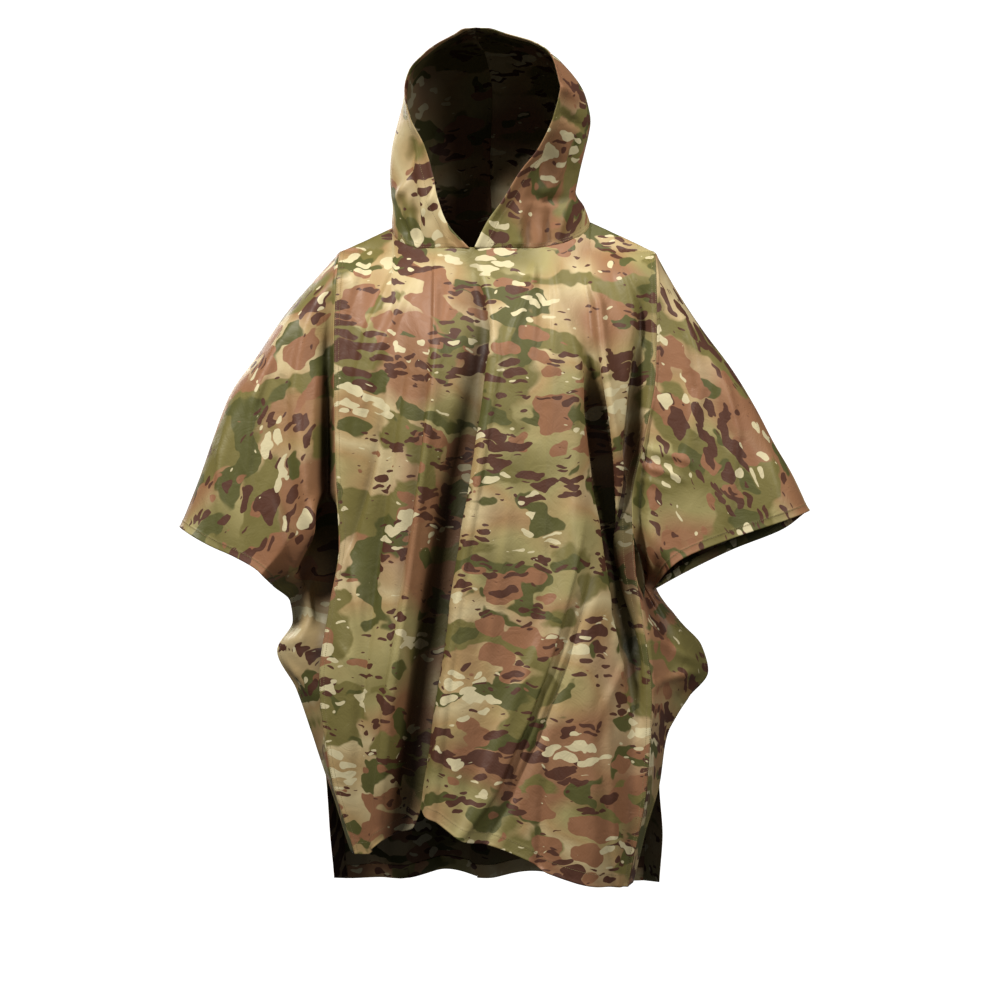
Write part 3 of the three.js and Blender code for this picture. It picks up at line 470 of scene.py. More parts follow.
SLEEVE_CREASES = {
    ("left", "front"): [
        (12, 0.3, [(-290, -60, 0), (-330, -150, 8), (-350, -260, 10), (-342, -380, 8), (-318, -470, 0)]),
        (10, -0.3, [(-330, -90, 0), (-384, -180, 6), (-420, -280, 9), (-430, -390, 6), (-418, -500, 0)]),
        (9, 0.2, [(-280, -160, 0), (-306, -240, 6), (-312, -330, 8), (-300, -420, 0)]),
        (15, 0.2, [(-306, -590, 0), (-314, -650, -26), (-320, -730, -30), (-312, -810, -20), (-306, -900, 0)]),
        (9, 0.3, [(-460, -280, 0), (-480, -360, 5), (-482, -440, 5), (-476, -530, 3)]),
        (7, 0, [(-390, -420, 0), (-366, -480, -6), (-352, -560, 0)]),
        (2.4, 0, [(-300, -219, 0.6), (-380, -219, 0.8), (-440, -220, 0.4)]),
        (7, 0.3, [(-404, -600, 5), (-352, -560, 17), (-318, -480, 16), (-286, -396, 0)]),
        (13, -0.2, [(-372, -620, 0), (-340, -596, -18), (-306, -520, -21), (-284, -430, 0)]),
        (14, 0, [(-288, -70, 0), (-290, -180, -28), (-292, -300, -44), (-292, -420, -56), (-290, -540, -54), (-292, -640, -40),
                 (-298, -740, -24), (-304, -880, 0)]),
        (16, 0, [(-324, -200, 0), (-330, -330, 14), (-328, -450, 18), (-322, -520, 12), (-322, -590, 0)]),
        (7, -0.2, [(-352, -650, 0), (-326, -600, 6), (-300, -540, 0)]),
        (9, 0.2, [(-380, -716, 0), (-340, -700, 8), (-306, -660, 0)]),
        (8, -0.2, [(-376, -730, 0), (-344, -760, 8), (-312, -820, 0)]),
    ],
    ("left", "back"): [
        (12, 0.3, [(-290, -60, 0), (-340, -160, 8), (-356, -280, 9), (-340, -420, 0)]),
        (10, -0.3, [(-350, -110, 0), (-410, -220, 6), (-436, -340, 6), (-430, -480, 0)]),
        (9, 0.2, [(-390, -600, 0), (-340, -560, 8), (-300, -480, 0)]),
        (9, 0.2, [(-380, -716, 0), (-344, -710, 8), (-306, -700, 0)]),
    ],
    ("right", "front"): [
        (5, 0.3, [(262, -352, 0), (292, -362, 6), (330, -372, 5), (368, -388, 0)]),
        (5, -0.3, [(258, -376, 0), (290, -392, 8), (328, -402, 5), (356, -420, 0)]),
        (5, 0.3, [(256, -402, 0), (286, -416, 6), (318, -432, 0)]),
        (11, 0.3, [(312, -40, 0), (352, -140, 8), (372, -250, 9), (352, -360, 4), (322, -440, 0)]),
        (11, -0.3, [(350, -110, 0), (412, -220, 6), (440, -330, 8), (430, -430, 5), (410, -520, 0)]),
        (9, 0.2, [(470, -290, 0), (500, -370, 5), (512, -480, 3)]),
        (2.4, 0, [(296, -218, 1.0), (360, -218, 1.2), (430, -219, 0.4)]),
        (8, 0.2, [(300, -600, 0), (296, -540, 6), (282, -470, 0)]),
        (10, 0, [(284, -280, 0), (272, -400, -13), (266, -480, -18), (268, -560, -10), (276, -620, 0)]),
        (8, 0.3, [(392, -756, 0), (346, -728, 9), (300, -700, 8), (276, -660, 0)]),
        (7, -0.3, [(392, -762, 0), (350, -762, 8), (306, -770, 5), (282, -790, 0)]),
        (8, 0.3, [(386, -772, 0), (346, -806, 8), (318, -870, 5), (300, -940, 0)]),
    ],
    ("right", "back"): [
        (12, 0.3, [(316, -40, 0), (360, -160, 8), (376, -280, 9), (350, -420, 0)]),
        (10, -0.3, [(366, -120, 0), (430, -240, 6), (450, -350, 6), (430, -500, 0)]),
        (9, 0.2, [(300, -600, 0), (330, -560, 8), (300, -480, 0)]),
        (9, 0.2, [(390, -756, 0), (350, -740, 8), (306, -720, 0)]),
    ],
}
HOOD_CREASES = {
    ("left", "front"): [
        (7, 0.3, [(-144, 2, 8), (-140, 50, 8), (-146, 118, 3), (-150, 170, 0)]),
        (8, -0.3, [(-108, 4, 0), (-118, 70, 7), (-128, 150, 7), (-140, 230, 0)]),
        (5, 0, [(-70, 4, 5), (-84, 40, 5), (-96, 80, 0)]),
        (6, 0.4, [(-166, 82, 0), (-153, 104, 12), (-140, 124, 0)]),
        (6, -0.4, [(-116, 54, 0), (-105, 86, 13), (-94, 114, 0)]),
        (8, 0.2, [(-158, 60, 0), (-150, 30, -12), (-142, 6, -8)]),
        (8, -0.2, [(-128, 104, 0), (-134, 64, -12), (-128, 20, -8)]),
        (9, 0, [(-150, 128, 0), (-140, 168, -10), (-130, 216, 0)]),
    ],
    ("right", "front"): [
        (6, 0.3, [(52, 6, 8), (51, 50, 8), (50, 80, 0)]),
        (5, -0.3, [(90, 6, 7), (91, 24, 7), (92, 60, 0)]),
        (9, 0.3, [(96, 70, 0), (124, 140, 8), (146, 210, 7), (150, 280, 0)]),
        (8, -0.3, [(130, 40, 0), (142, 100, 8), (156, 170, 7), (160, 230, 0)]),
        (6, 0.2, [(120, 4, 0), (128, 40, 7), (134, 90, 0)]),
        (6, 0.3, [(114, 238, 0), (146, 224, -11), (178, 206, 0)]),
        (6, -0.3, [(100, 288, 0), (130, 280, 9), (160, 262, 0)]),
        (7, 0.3, [(60, 92, 0), (104, 84, -12), (146, 88, 0)]),
        (11, 0.2, [(112, 206, 0), (104, 160, -14), (88, 118, -8), (76, 90, 0)]),
        (7, 0, [(66, 10, -6), (68, 40, -9), (74, 76, 0)]),
        (8, 0.2, [(108, 8, -8), (106, 40, -10), (110, 80, 0)]),
    ],
    ("left", "back"): [
        (11, 0.3, [(-130, 60, 5), (-120, 130, 10), (-90, 230, 5), (-60, 320, 0)]),
        (10, -0.3, [(-60, 60, 7), (-56, 120, 8), (-40, 210, 0)]),
        (12, 0, [(-160, 150, 0), (-100, 166, 8), (-40, 150, 0)]),
    ],
    ("right", "back"): [
        (11, -0.3, [(134, 60, 5), (124, 130, 10), (96, 230, 5), (60, 320, 0)]),
        (10, 0.3, [(64, 60, 7), (60, 120, 8), (44, 210, 0)]),
        (12, 0, [(150, 140, 0), (100, 156, 8), (40, 142, 0)]),
    ],
}


# %% [markdown]
# Cloth is never quite smooth between its creases either. A soft, seeded relief fills that in. It is longer down
# the cloth than across it, because the weight of the panel pulls the ripples that way.

# %% Soft relief between the creases
def ripple(x, z, wide, tall, seed):
    """Smooth noise from -1 to 1: one value at each corner of a lattice, eased between them."""
    corner = np.random.RandomState(seed).uniform(-1, 1, (64, 64))
    u, v = x / wide + 31.3, z / tall + 29.7
    i, j = np.floor(u).astype(int), np.floor(v).astype(int)
    s, t = ease(u - i), ease(v - j)
    at = lambda p, q: corner[p % 64, q % 64]
    return mix(mix(at(i, j), at(i + 1, j), s), mix(at(i, j + 1), at(i + 1, j + 1), s), t)


# Painted shade: the depth of a drawn pleat is kept so the cloth's colour can be darkened where shade falls in deep
# pleats.
def painted_shade_of(drawn):
    """Painted shade: how deep a place lies in a drawn pleat, from 0 in the open to 1 at the bottom; the print is
    darkened by it.
    """
    return ease((-drawn - 6) / 26)


def cloth_relief(x, z, seed):
    broad = 2.6 * ripple(x, z, 62, 150, seed)
    middle = 1.3 * ripple(x + 0.25 * z, z, 27, 64, seed + 1)
    fine = 0.4 * ripple(x - 0.2 * z, z, 13, 24, seed + 2)
    return broad + middle + fine


# %% [markdown]
# ## From a surface to cloth
#
# A grid of points becomes cloth when it gets a thickness. The Solidify modifier could do this, but here the
# second layer is made from the same normals, which lets a hem lie exactly on its panel, and lets the outer and
# the inner face have their own finish. The flat pattern's coordinates are kept at each point in an attribute
# named cut: the distance across and down the cloth. The print and the weave read it, so they fold with the cloth.
# A second attribute holds painted shade: how deep each point lies in a drawn pleat, which darkens the print there.

# %% Normals, relief and cut coordinates of a grid
SHELL = 0.7
HEM_SHELL = 0.6


def normals_of(points, outward):
    dc, dr = np.gradient(points, axis=1), np.gradient(points, axis=0)
    n = np.cross(dc, dr)
    n /= np.maximum(np.linalg.norm(n, axis=-1, keepdims=True), 1e-9)
    return n * outward


def lengths(points, axis):
    """Distance along the grid from its first line, summed step by step."""
    step = np.linalg.norm(np.diff(points, axis=axis), axis=-1)
    start = np.zeros_like(np.take(step, [0], axis=axis))
    return np.concatenate([start, np.cumsum(step, axis=axis)], axis=axis)


def dressed(base, outward, height):
    points = base + normals_of(base, outward) * height[..., None]
    return points, normals_of(points, outward)


def evened(values, passes=30):
    """Neighbouring rows are averaged, so that a steep pleat doesn't make the print jump from row to row."""
    for _ in range(passes):
        values[1:-1] = (values[:-2] + 2 * values[1:-1] + values[2:]) / 4
    return values


def panel_cut(points):
    """Cut coordinates in metres: true length across from the middle, and down the cloth level by level."""
    across = lengths(points, 1)
    across = evened(across - across[:, across.shape[1] // 2][:, None])
    row_z = points[..., 2].mean(1, keepdims=True)
    down = lengths(points, 0).mean(1, keepdims=True) + row_z - points[..., 2]
    return np.stack([across, down, np.zeros_like(down)], -1) * MM


def relaxed(points, flat, steps=500):
    """Moves flat coordinates until the distance of each neighbour is close to that on the cloth."""
    pairs = []
    for here, there in (
            ((slice(None), slice(0, -1)), (slice(None), slice(1, None))),
            ((slice(0, -1), slice(None)), (slice(1, None), slice(None))),
            ((slice(0, -1), slice(0, -1)), (slice(1, None), slice(1, None))),
            ((slice(0, -1), slice(1, None)), (slice(1, None), slice(0, -1)))):
        pairs.append((here, there, np.linalg.norm(points[there] - points[here], axis=-1)))
    speed = np.zeros_like(flat)
    for _ in range(steps):
        move = np.zeros_like(flat)
        for here, there, length in pairs:
            apart = flat[there] - flat[here]
            now = np.maximum(np.linalg.norm(apart, axis=-1), 1e-6)
            pull = (apart * (0.5 * (now - length) / now)[..., None])
            move[here] += pull
            move[there] -= pull
        speed = 0.92 * speed + move / 8
        flat = flat + speed
    return flat


def spread_to(coarse, rows, columns, at_rows, at_columns):
    """Values of a coarse grid at every row and column of the fine one."""
    wide = np.stack([np.interp(columns, at_columns, line) for line in coarse])
    return np.stack([np.interp(rows, at_rows, line) for line in wide.T], 1)


def gore_cut(points, r):
    """Cut coordinates of a gore: unfolded over the line of the arm and laid flat, with the print along the arm."""
    ridge = points[len(points) // 2][:, [0, 2]]
    start = ridge[0]
    along = (ridge[-1] - start) / np.linalg.norm(ridge[-1] - start)
    across_arm = np.array([-along[1], along[0]]) * (1 if along[0] < 0 else -1)
    step = np.diff(points, axis=0)
    hidden = np.hypot(step[..., 1], step[..., 2]) - np.abs(step[..., 2])
    middle = len(points) // 2
    front_run = np.cumsum(hidden[middle:], axis=0)
    back_run = np.cumsum(hidden[:middle][::-1], axis=0)[::-1]
    depth_run = np.concatenate([back_run, np.zeros((1, points.shape[1])), front_run])
    step = np.diff(points, axis=1)
    hidden = np.hypot(step[..., 0], step[..., 1]) - np.abs(step[..., 0])
    side_run = np.concatenate([np.zeros((len(points), 1)), np.cumsum(hidden, axis=1)], axis=1)
    flat = points[..., [0, 2]] + depth_run[..., None] * across_arm
    flat[..., 0] += side_run * np.sign(along[0])

    def unfolded(place):
        shift = place - start
        return start + 2 * (shift @ along)[..., None] * along - shift

    joined = (ridge - unfolded(ridge))[None] * (1 - ease(np.abs(r) / 0.3))[..., None]
    flat = np.where(r[..., None] >= 0, flat, unfolded(flat) + joined)
    count = points.shape[:2]
    at_rows = np.unique(np.append(np.arange(0, count[0], 4), count[0] - 1))
    at_columns = np.unique(np.append(np.arange(0, count[1], 4), count[1] - 1))
    few = np.ix_(at_rows, at_columns)
    laid = relaxed(points[few], flat[few])
    print("gore laid flat: mean change of place", round(float(np.abs(laid - flat[few]).mean()), 1), "mm")
    across = (laid - start) @ along
    down = (laid - start) @ across_arm
    every = [spread_to(part, np.arange(count[0]), np.arange(count[1]), at_rows, at_columns) for part in (across, down)]
    return np.stack([*every, np.zeros_like(r)], -1) * MM


# %% Cloth wall from a grid
def cloth_wall(name, points, normal, cut, outward, thick=SHELL, lift=0.0, cut_from=(0, 0), painted_shade=None):
    rows, columns = points.shape[:2]
    top = points + normal * (lift + thick / 2)
    under = points + normal * (lift - thick / 2)
    count = rows * columns
    verts = np.concatenate([top.reshape(-1, 3), under.reshape(-1, 3)]) * MM
    k = np.arange(count).reshape(rows, columns)
    a, b, c, d = k[:-1, :-1], k[:-1, 1:], k[1:, 1:], k[1:, :-1]
    outer = np.stack([a, b, c, d], -1).reshape(-1, 4)
    inner = np.stack([a, d, c, b], -1).reshape(-1, 4) + count
    edge = np.concatenate([k[0, :], k[1:, -1], k[-1, -2::-1], k[-2:0:-1, 0]])
    after = np.roll(edge, -1)
    rim = np.stack([after, edge, edge + count, after + count], -1)
    faces = np.concatenate([outer, inner, rim])
    if outward < 0:
        faces = faces[:, ::-1]
    mesh = bpy.data.meshes.new(name)
    mesh.from_pydata(verts.tolist(), [], faces.tolist())
    flat = np.tile(cut.reshape(-1, 3) + np.array([*cut_from, 0]), (2, 1))
    layer = mesh.attributes.new("cut", "FLOAT_VECTOR", "POINT")
    layer.data.foreach_set("vector", flat.astype(np.float32).ravel())
    # The optional second attribute carries painted shade: how much the print is darkened deep in the drawn pleats.
    if painted_shade is not None:
        deep = mesh.attributes.new("painted_shade", "FLOAT", "POINT")
        deep.data.foreach_set("value", np.tile(painted_shade.ravel(), 2).astype(np.float32))
    inside = np.zeros(len(faces), np.int32)
    inside[len(outer):len(outer) + len(inner)] = 1
    mesh.polygons.foreach_set("material_index", inside)
    mesh.polygons.foreach_set("use_smooth", np.ones(len(faces), bool))
    mesh.update()
    piece = bpy.data.objects.new(name, mesh)
    bpy.context.scene.collection.objects.link(piece)
    return piece


def cloth_area(points):
    d1 = points[1:, 1:] - points[:-1, :-1]
    d2 = points[1:, :-1] - points[:-1, 1:]
    return float(np.linalg.norm(np.cross(d1, d2), axis=-1).sum() / 2) * MM * MM


# %% [markdown]
# ## Stitches
#
# Seams and hems are what make cloth read as sewn. A row of lockstitch is a dotted line of short thread humps.
# A texture could paint it, but close up a real thread stands out of the cloth and catches light, so each stitch
# is a small lozenge of mesh that follows the seam.

# %% A row of stitches along a line on the cloth
STITCH_PITCH = 3.6
STITCH_LONG = 2.6
THREAD = 0.45


def line_at(points, normal, index, axis):
    """A line of the grid between two of its rows or columns."""
    low = int(np.floor(index))
    high = min(low + 1, points.shape[axis] - 1)
    t = index - low
    take = lambda g, i: np.take(g, i, axis=axis)
    return mix(take(points, low), take(points, high), t), mix(take(normal, low), take(normal, high), t)


def stitches_on(line, normal):
    """Corners and faces of the stitches along one line."""
    run = np.concatenate([[0], np.cumsum(np.linalg.norm(np.diff(line, axis=0), axis=1))])
    at = np.arange(STITCH_PITCH, run[-1] - STITCH_PITCH, STITCH_PITCH)
    resample = lambda grid, s: np.stack([np.interp(s, run, grid[:, i]) for i in range(3)], -1)
    middle = resample(line, at)
    along = resample(line, at + 0.5) - resample(line, at - 0.5)
    along /= np.linalg.norm(along, axis=1, keepdims=True)
    up = resample(normal, at)
    up /= np.linalg.norm(up, axis=1, keepdims=True)
    side = np.cross(up, along)
    ring = []
    for s, reach in ((-0.5, 0.15), (-0.25, 1.0), (0.25, 1.0), (0.5, 0.15)):
        centre = middle + along * STITCH_LONG * s + up * (SHELL / 2 - 0.1 + 0.12 * reach)
        for turn in range(5):
            angle = 2 * np.pi * turn / 5
            spoke = side * np.cos(angle) + up * np.sin(angle)
            ring.append(centre + spoke * THREAD * reach)
    corners = np.stack(ring, 1)
    quads = []
    for j in range(3):
        for turn in range(5):
            after = (turn + 1) % 5
            quads.append((5 * j + turn, 5 * j + after, 5 * j + 5 + after, 5 * j + 5 + turn))
    start = np.arange(len(at))[:, None, None] * 20
    faces = (np.array(quads)[None] + start).reshape(-1, 4)
    caps = np.array([(4, 3, 2, 1, 0), (15, 16, 17, 18, 19)])[None] + start
    return corners.reshape(-1, 3), faces.tolist() + caps.reshape(-1, 5).tolist()


def stitch_rows(name, lines, material):
    verts, faces = [], []
    for line, normal in lines:
        corners, quads = stitches_on(line, normal)
        faces += [[i + len(verts) for i in quad] for quad in quads]
        verts += (corners * MM).tolist()
    mesh = bpy.data.meshes.new(name)
    mesh.from_pydata(verts, [], faces)
    mesh.polygons.foreach_set("use_smooth", np.ones(len(faces), bool))
    mesh.materials.append(material)
    mesh.update()
    piece = bpy.data.objects.new(name, mesh)
    bpy.context.scene.collection.objects.link(piece)
    print(name, len(faces) // 17, "stitches")
    return piece


# %% [markdown]
# ## The print
#
# The cloth carries a field print of soft blotches in tan, sand, sage, olive and brown. The one here is a generic
# design: broad grounds that run into each other, lobed olive and rust islands on them, and small dark and pale
# flecks on top, each layer cut from its own noise at its own scale. Everything reads the cut coordinates, so
# the print breaks at the seams as it does on real cloth that is cut from a roll.

# %% Colours from the eye's scale to the shader's
def srgb(red, green, blue):
    def linear(value):
        value /= 255
        return value / 12.92 if value <= 0.04045 else ((value + 0.055) / 1.055) ** 2.4

    return (linear(red), linear(green), linear(blue), 1)


SAND = srgb(202, 186, 144)
TAN = srgb(174, 147, 101)
SAGE = srgb(164, 154, 104)
RUST = srgb(148, 104, 74)
OLIVE = srgb(88, 88, 44)
MOSS = srgb(120, 112, 62)
BARK = srgb(86, 52, 38)
CREAM = srgb(214, 204, 166)


# %% Node helpers
def node(tree, kind, inputs=None, **settings):
    made = tree.nodes.new(kind)
    for key, value in settings.items():
        setattr(made, key, value)
    for key, value in (inputs or {}).items():
        if isinstance(value, bpy.types.NodeSocket):
            tree.links.new(value, made.inputs[key])
        else:
            made.inputs[key].default_value = value
    return made


def ramp(tree, factor, stops):
    made = node(tree, "ShaderNodeValToRGB", {"Fac": factor})
    elements = made.color_ramp.elements
    while len(elements) < len(stops):
        elements.new(0.5)
    for element, (position, colour) in zip(elements, stops):
        element.position = position
        element.color = colour
    return made.outputs["Color"]


def noise(tree, place, scale, stretch, shift, detail=2.0, rough=0.5, warp=0.0):
    """A noise on the cloth, stretched across it, moved to its own place in the noise."""
    mapped = node(tree, "ShaderNodeMapping", {"Vector": place, "Location": shift, "Scale": (1 / stretch, 1, 1)})
    made = node(tree, "ShaderNodeTexNoise", {
        "Vector": mapped.outputs["Vector"], "Scale": scale, "Detail": detail, "Roughness": rough,
        "Distortion": warp})
    return made.outputs["Fac"]


def over(tree, below, above, mask):
    made = node(tree, "ShaderNodeMix", data_type="RGBA")
    tree.links.new(mask, made.inputs[0])
    for socket, value in ((made.inputs[6], below), (made.inputs[7], above)):
        if isinstance(value, bpy.types.NodeSocket):
            tree.links.new(value, socket)
        else:
            socket.default_value = value
    return made.outputs[2]


def islands(tree, factor, level, edge=0.006):
    """White where a noise is over a level, with a narrow soft border."""
    return ramp(tree, factor, [(level - edge, (0, 0, 0, 1)), (level + edge, (1, 1, 1, 1))])


# %% The print's layers
def pebbles(tree, place, scale, stretch, shift, size, crowd):
    """Rounded spots of uneven size, gathered where a broad noise is high."""
    mapped = node(tree, "ShaderNodeMapping", {"Vector": place, "Location": shift, "Scale": (1 / stretch, 1, 1)})
    cells = node(tree, "ShaderNodeTexVoronoi", {
        "Vector": mapped.outputs["Vector"], "Scale": scale, "Smoothness": 0.35, "Randomness": 1.0},
        feature="SMOOTH_F1", voronoi_dimensions="2D")
    crowded = noise(tree, place, scale / 5, 1.3, shift, detail=1.0)
    reach = node(tree, "ShaderNodeMapRange", {
        "Value": crowded, "From Min": crowd, "From Max": crowd + 0.14, "To Min": 0.0, "To Max": size})
    inside = node(tree, "ShaderNodeMath", {
        0: reach.outputs["Result"], 1: cells.outputs["Distance"]}, operation="SUBTRACT").outputs[0]
    return ramp(tree, inside, [(0.0, (0, 0, 0, 1)), (0.02, (1, 1, 1, 1))])


def field_print(tree):
    place = node(tree, "ShaderNodeAttribute", attribute_name="cut").outputs["Vector"]
    sway = node(tree, "ShaderNodeTexNoise", {"Vector": place, "Scale": 26.0, "Detail": 1.5})
    centred = node(tree, "ShaderNodeVectorMath", {0: sway.outputs["Color"], 1: (0.5, 0.5, 0.5)}, operation="SUBTRACT")
    swayed = node(tree, "ShaderNodeVectorMath", {
        0: centred.outputs[0], 1: (0.05, 0.035, 0), 2: place}, operation="MULTIPLY_ADD").outputs[0]
    broad = noise(tree, place, 4.6, 1.25, (0.3, 1.7, 0), detail=1.4)
    ground = ramp(tree, broad, [(0.34, MOSS), (0.43, SAGE), (0.5, TAN), (0.57, SAND), (0.64, TAN), (0.72, RUST)])
    warm = noise(tree, place, 5.2, 1.3, (4.1, 2.2, 0), detail=1.0)
    ground = over(tree, ground, RUST, ramp(tree, warm, [(0.5, (0, 0, 0, 1)), (0.62, (0.92, 0.92, 0.92, 1))]))
    mossy = noise(tree, swayed, 9.5, 1.5, (7.7, 5.1, 0), detail=1.4, warp=0.25)
    ground = over(tree, ground, MOSS, islands(tree, mossy, 0.57, 0.012))
    olive = noise(tree, swayed, 14.0, 1.5, (1.2, 9.4, 0), detail=1.6, warp=0.3)
    ground = over(tree, ground, OLIVE, islands(tree, olive, 0.585, 0.006))
    ground = over(tree, ground, RUST, pebbles(tree, swayed, 21.0, 1.7, (5.3, 3.8, 0), 0.46, 0.5))
    ground = over(tree, ground, BARK, pebbles(tree, swayed, 42.0, 2.9, (2.9, 6.6, 0), 0.45, 0.505))
    ground = over(tree, ground, BARK, pebbles(tree, swayed, 70.0, 2.8, (6.2, 2.7, 0), 0.4, 0.51))
    ground = over(tree, ground, CREAM, pebbles(tree, swayed, 50.0, 2.3, (8.4, 0.9, 0), 0.42, 0.53))
    return ground, place


# %% [markdown]
# ## The coated cloth
#
# Taffeta with a waterproof coating has a soft, slightly wet sheen outside. Its surface is not even: the weave
# gives a fine grain, and handling leaves shallow crushed marks. The grain and the marks go into the bump, and
# the same marks make the gloss vary. Inside, the coating is duller and the print shows through it only weakly.
# Deep in the drawn pleats the print is darkened as painted shade.

# %% Outer and inner finish
def weave_bump(tree, place, strength):
    crush = noise(tree, place, 30.0, 1.0, (3.0, 3.0, 0), detail=4.0, rough=0.6, warp=1.2)
    scaled = node(tree, "ShaderNodeVectorMath", {0: place, 1: (900.0, 900.0, 0)}, operation="MULTIPLY").outputs[0]
    part = node(tree, "ShaderNodeSeparateXYZ", {"Vector": scaled})
    warp_thread = node(tree, "ShaderNodeMath", {0: part.outputs["X"]}, operation="SINE").outputs[0]
    weft_thread = node(tree, "ShaderNodeMath", {0: part.outputs["Y"]}, operation="SINE").outputs[0]
    threads = node(tree, "ShaderNodeMath", {0: warp_thread, 1: weft_thread}, operation="MULTIPLY").outputs[0]
    fine = node(tree, "ShaderNodeBump", {"Strength": 0.12, "Distance": 0.0002, "Height": threads})
    broad = node(tree, "ShaderNodeBump", {
        "Strength": strength, "Distance": 0.004, "Height": crush, "Normal": fine.outputs["Normal"]})
    return broad.outputs["Normal"], crush


def cloth_material(name, gain, rough, bump, reflection):
    made = bpy.data.materials.new(name)
    made.use_nodes = True
    tree = made.node_tree
    shader = tree.nodes["Principled BSDF"]
    colour, place = field_print(tree)
    # Painted shade: the print's value is lowered by up to 62 % deep in the drawn pleats, standing in for the shade that
    # falls there.
    deep = node(tree, "ShaderNodeAttribute", attribute_name="painted_shade").outputs["Fac"]
    value = node(tree, "ShaderNodeMath", {0: deep, 1: -0.62 * gain[0], 2: gain[0]}, operation="MULTIPLY_ADD").outputs[0]
    tone = node(tree, "ShaderNodeHueSaturation", {
        "Color": colour, "Value": value, "Saturation": gain[1], "Hue": 0.5})
    tree.links.new(tone.outputs["Color"], shader.inputs["Base Color"])
    normal, crush = weave_bump(tree, place, bump)
    tree.links.new(normal, shader.inputs["Normal"])
    low, high = rough
    gloss = node(tree, "ShaderNodeMapRange", {
        "Value": crush, "From Min": 0.3, "From Max": 0.7, "To Min": low, "To Max": high})
    tree.links.new(gloss.outputs["Result"], shader.inputs["Roughness"])
    shader.inputs["Specular IOR Level"].default_value = reflection
    return made


OUTER = cloth_material("coated_print_outside", (0.76, 1.0), (0.46, 0.62), 0.34, 0.34)
INNER = cloth_material("coating_inside", (0.4, 0.9), (0.6, 0.75), 0.2, 0.16)


# %% Thread
def thread_material():
    made = bpy.data.materials.new("olive_thread")
    made.use_nodes = True
    tree = made.node_tree
    shader = tree.nodes["Principled BSDF"]
    place = node(tree, "ShaderNodeTexCoord").outputs["Object"]
    tone = node(tree, "ShaderNodeTexNoise", {"Vector": place, "Scale": 400.0, "Detail": 1.0})
    colour = ramp(tree, tone.outputs["Fac"], [(0.3, srgb(92, 82, 52)), (0.7, srgb(138, 124, 84))])
    tree.links.new(colour, shader.inputs["Base Color"])
    shader.inputs["Roughness"].default_value = 0.6
    return made


THREAD_FINISH = thread_material()

# %% [markdown]
# ## Panels
#
# The front and back panel hang from the shoulders. Columns are closer together at the seams, where the felled
# seam lifts the cloth a little, and rows are closer together over the shoulder and in the hem.

# %% Rows and columns
HEM_WIDTH = 24
BODY_LENGTH = 1110
EDGE_MM = [0, 1.2, 3, 6, 8.5, 10, 13]
HEM_MM = [34, 28, 25.5, 24, 22, 20, 15, 9, 4, 1.5, 0]


def seam_columns(count, half_width):
    near = [-1 + e / half_width for e in EDGE_MM]
    middle = np.linspace(near[-1], -near[-1], count)[1:-1]
    return np.concatenate([near, middle, [-c for c in reversed(near)]])


def body_rows(count):
    shoulder = 0.1 * np.linspace(0, 1, 22) ** 1.5
    hem = [1 - e / BODY_LENGTH for e in HEM_MM]
    return np.concatenate([shoulder, np.linspace(0.1, hem[0], count)[1:-1], hem])


def seam_relief(from_edge):
    """A felled seam: the cloth is doubled over the first 8 mm, with a groove at the seam itself."""
    return 0.7 * ease((10 - from_edge) / 2.5) - 1.0 * bell(from_edge / 1.6)


def hem_relief(from_edge, width=HEM_WIDTH):
    """The turned hem stands out a little, with a dimple along its stitches."""
    doubled = 0.6 * ease((width + 1.5 - from_edge) / 3)
    return doubled - 0.5 * bell((from_edge - (width - 3)) / 1.6)


def rolled_edge(from_edge):
    """The fold of a hem keeps a soft round bead."""
    return 1.1 * bell((from_edge - 1.5) / 2.2)


def pucker(run, from_line, seed):
    """Small gathers along a sewn line, which die out away from it."""
    return 0.5 * ripple(run, np.zeros_like(run), 7, 100, seed) * bell(from_line / 9)


# %% Front and back panel
sewn = {}
for face, creases, columns, seed, cut_from in (
        ("front", FRONT_CREASES, 180, 11, (0.0, 0.0)), ("back", BACK_CREASES, 120, 31, (3.1, 1.4))):
    c, v = np.meshgrid(seam_columns(columns, 280), body_rows(150))
    outward = 1 if face == "back" else -1
    base = panel_surface(face, c, v)
    x, z = base[..., 0], base[..., 2]
    from_seam = (1 - np.abs(c)) * 280
    from_top = v * BODY_LENGTH
    from_hem = (1 - v) * BODY_LENGTH
    free = ease(from_seam / 18) * ease(from_top / 40)
    drawn = crease_height(x, z, creases)
    height = (drawn + cloth_relief(x, z, seed)) * free
    height += seam_relief(from_seam) + hem_relief(from_hem) + rolled_edge(from_hem)
    height += pucker(z, from_seam - 9, seed + 5) + pucker(x, from_hem - 21, seed + 6) + pucker(x, from_top - 5, seed + 7)
    points, normal = dressed(base, outward, height)
    cut = panel_cut(points)
    sewn[face] = (points, normal, cut, outward, cut_from)
    piece = cloth_wall(f"{face}_panel_cloth", points, normal, cut, outward, cut_from=cut_from, painted_shade=painted_shade_of(drawn))
    piece.data.materials.append(OUTER)
    piece.data.materials.append(INNER)
    sewn[face + " piece"] = piece
    print(piece.name, "area", round(cloth_area(points), 3), "m2,", len(piece.data.polygons), "faces")

# %% [markdown]
# ## Gores with their sleeves
#
# Each gore is one piece of cloth that goes over the arm: its top is the sleeve, its lower halves close the body's
# side down to the vent. The sleeve's opening has a turned hem all round, which ends at the underarm.

# %% Gore rows and columns
SLEEVE_HEM = 16
GORE_HEM_MM = [26, 18.5, 17, 16, 14.5, 13, 9, 4, 1.5, 0]


def gore_rows(count):
    ridge = 0.05 * np.linspace(0, 1, 12) ** 1.4
    half = np.concatenate([ridge, np.linspace(0.05, UNDERARM_V, count)[1:], np.linspace(UNDERARM_V, 1, count)[1:]])
    return np.concatenate([-half[:0:-1], half])


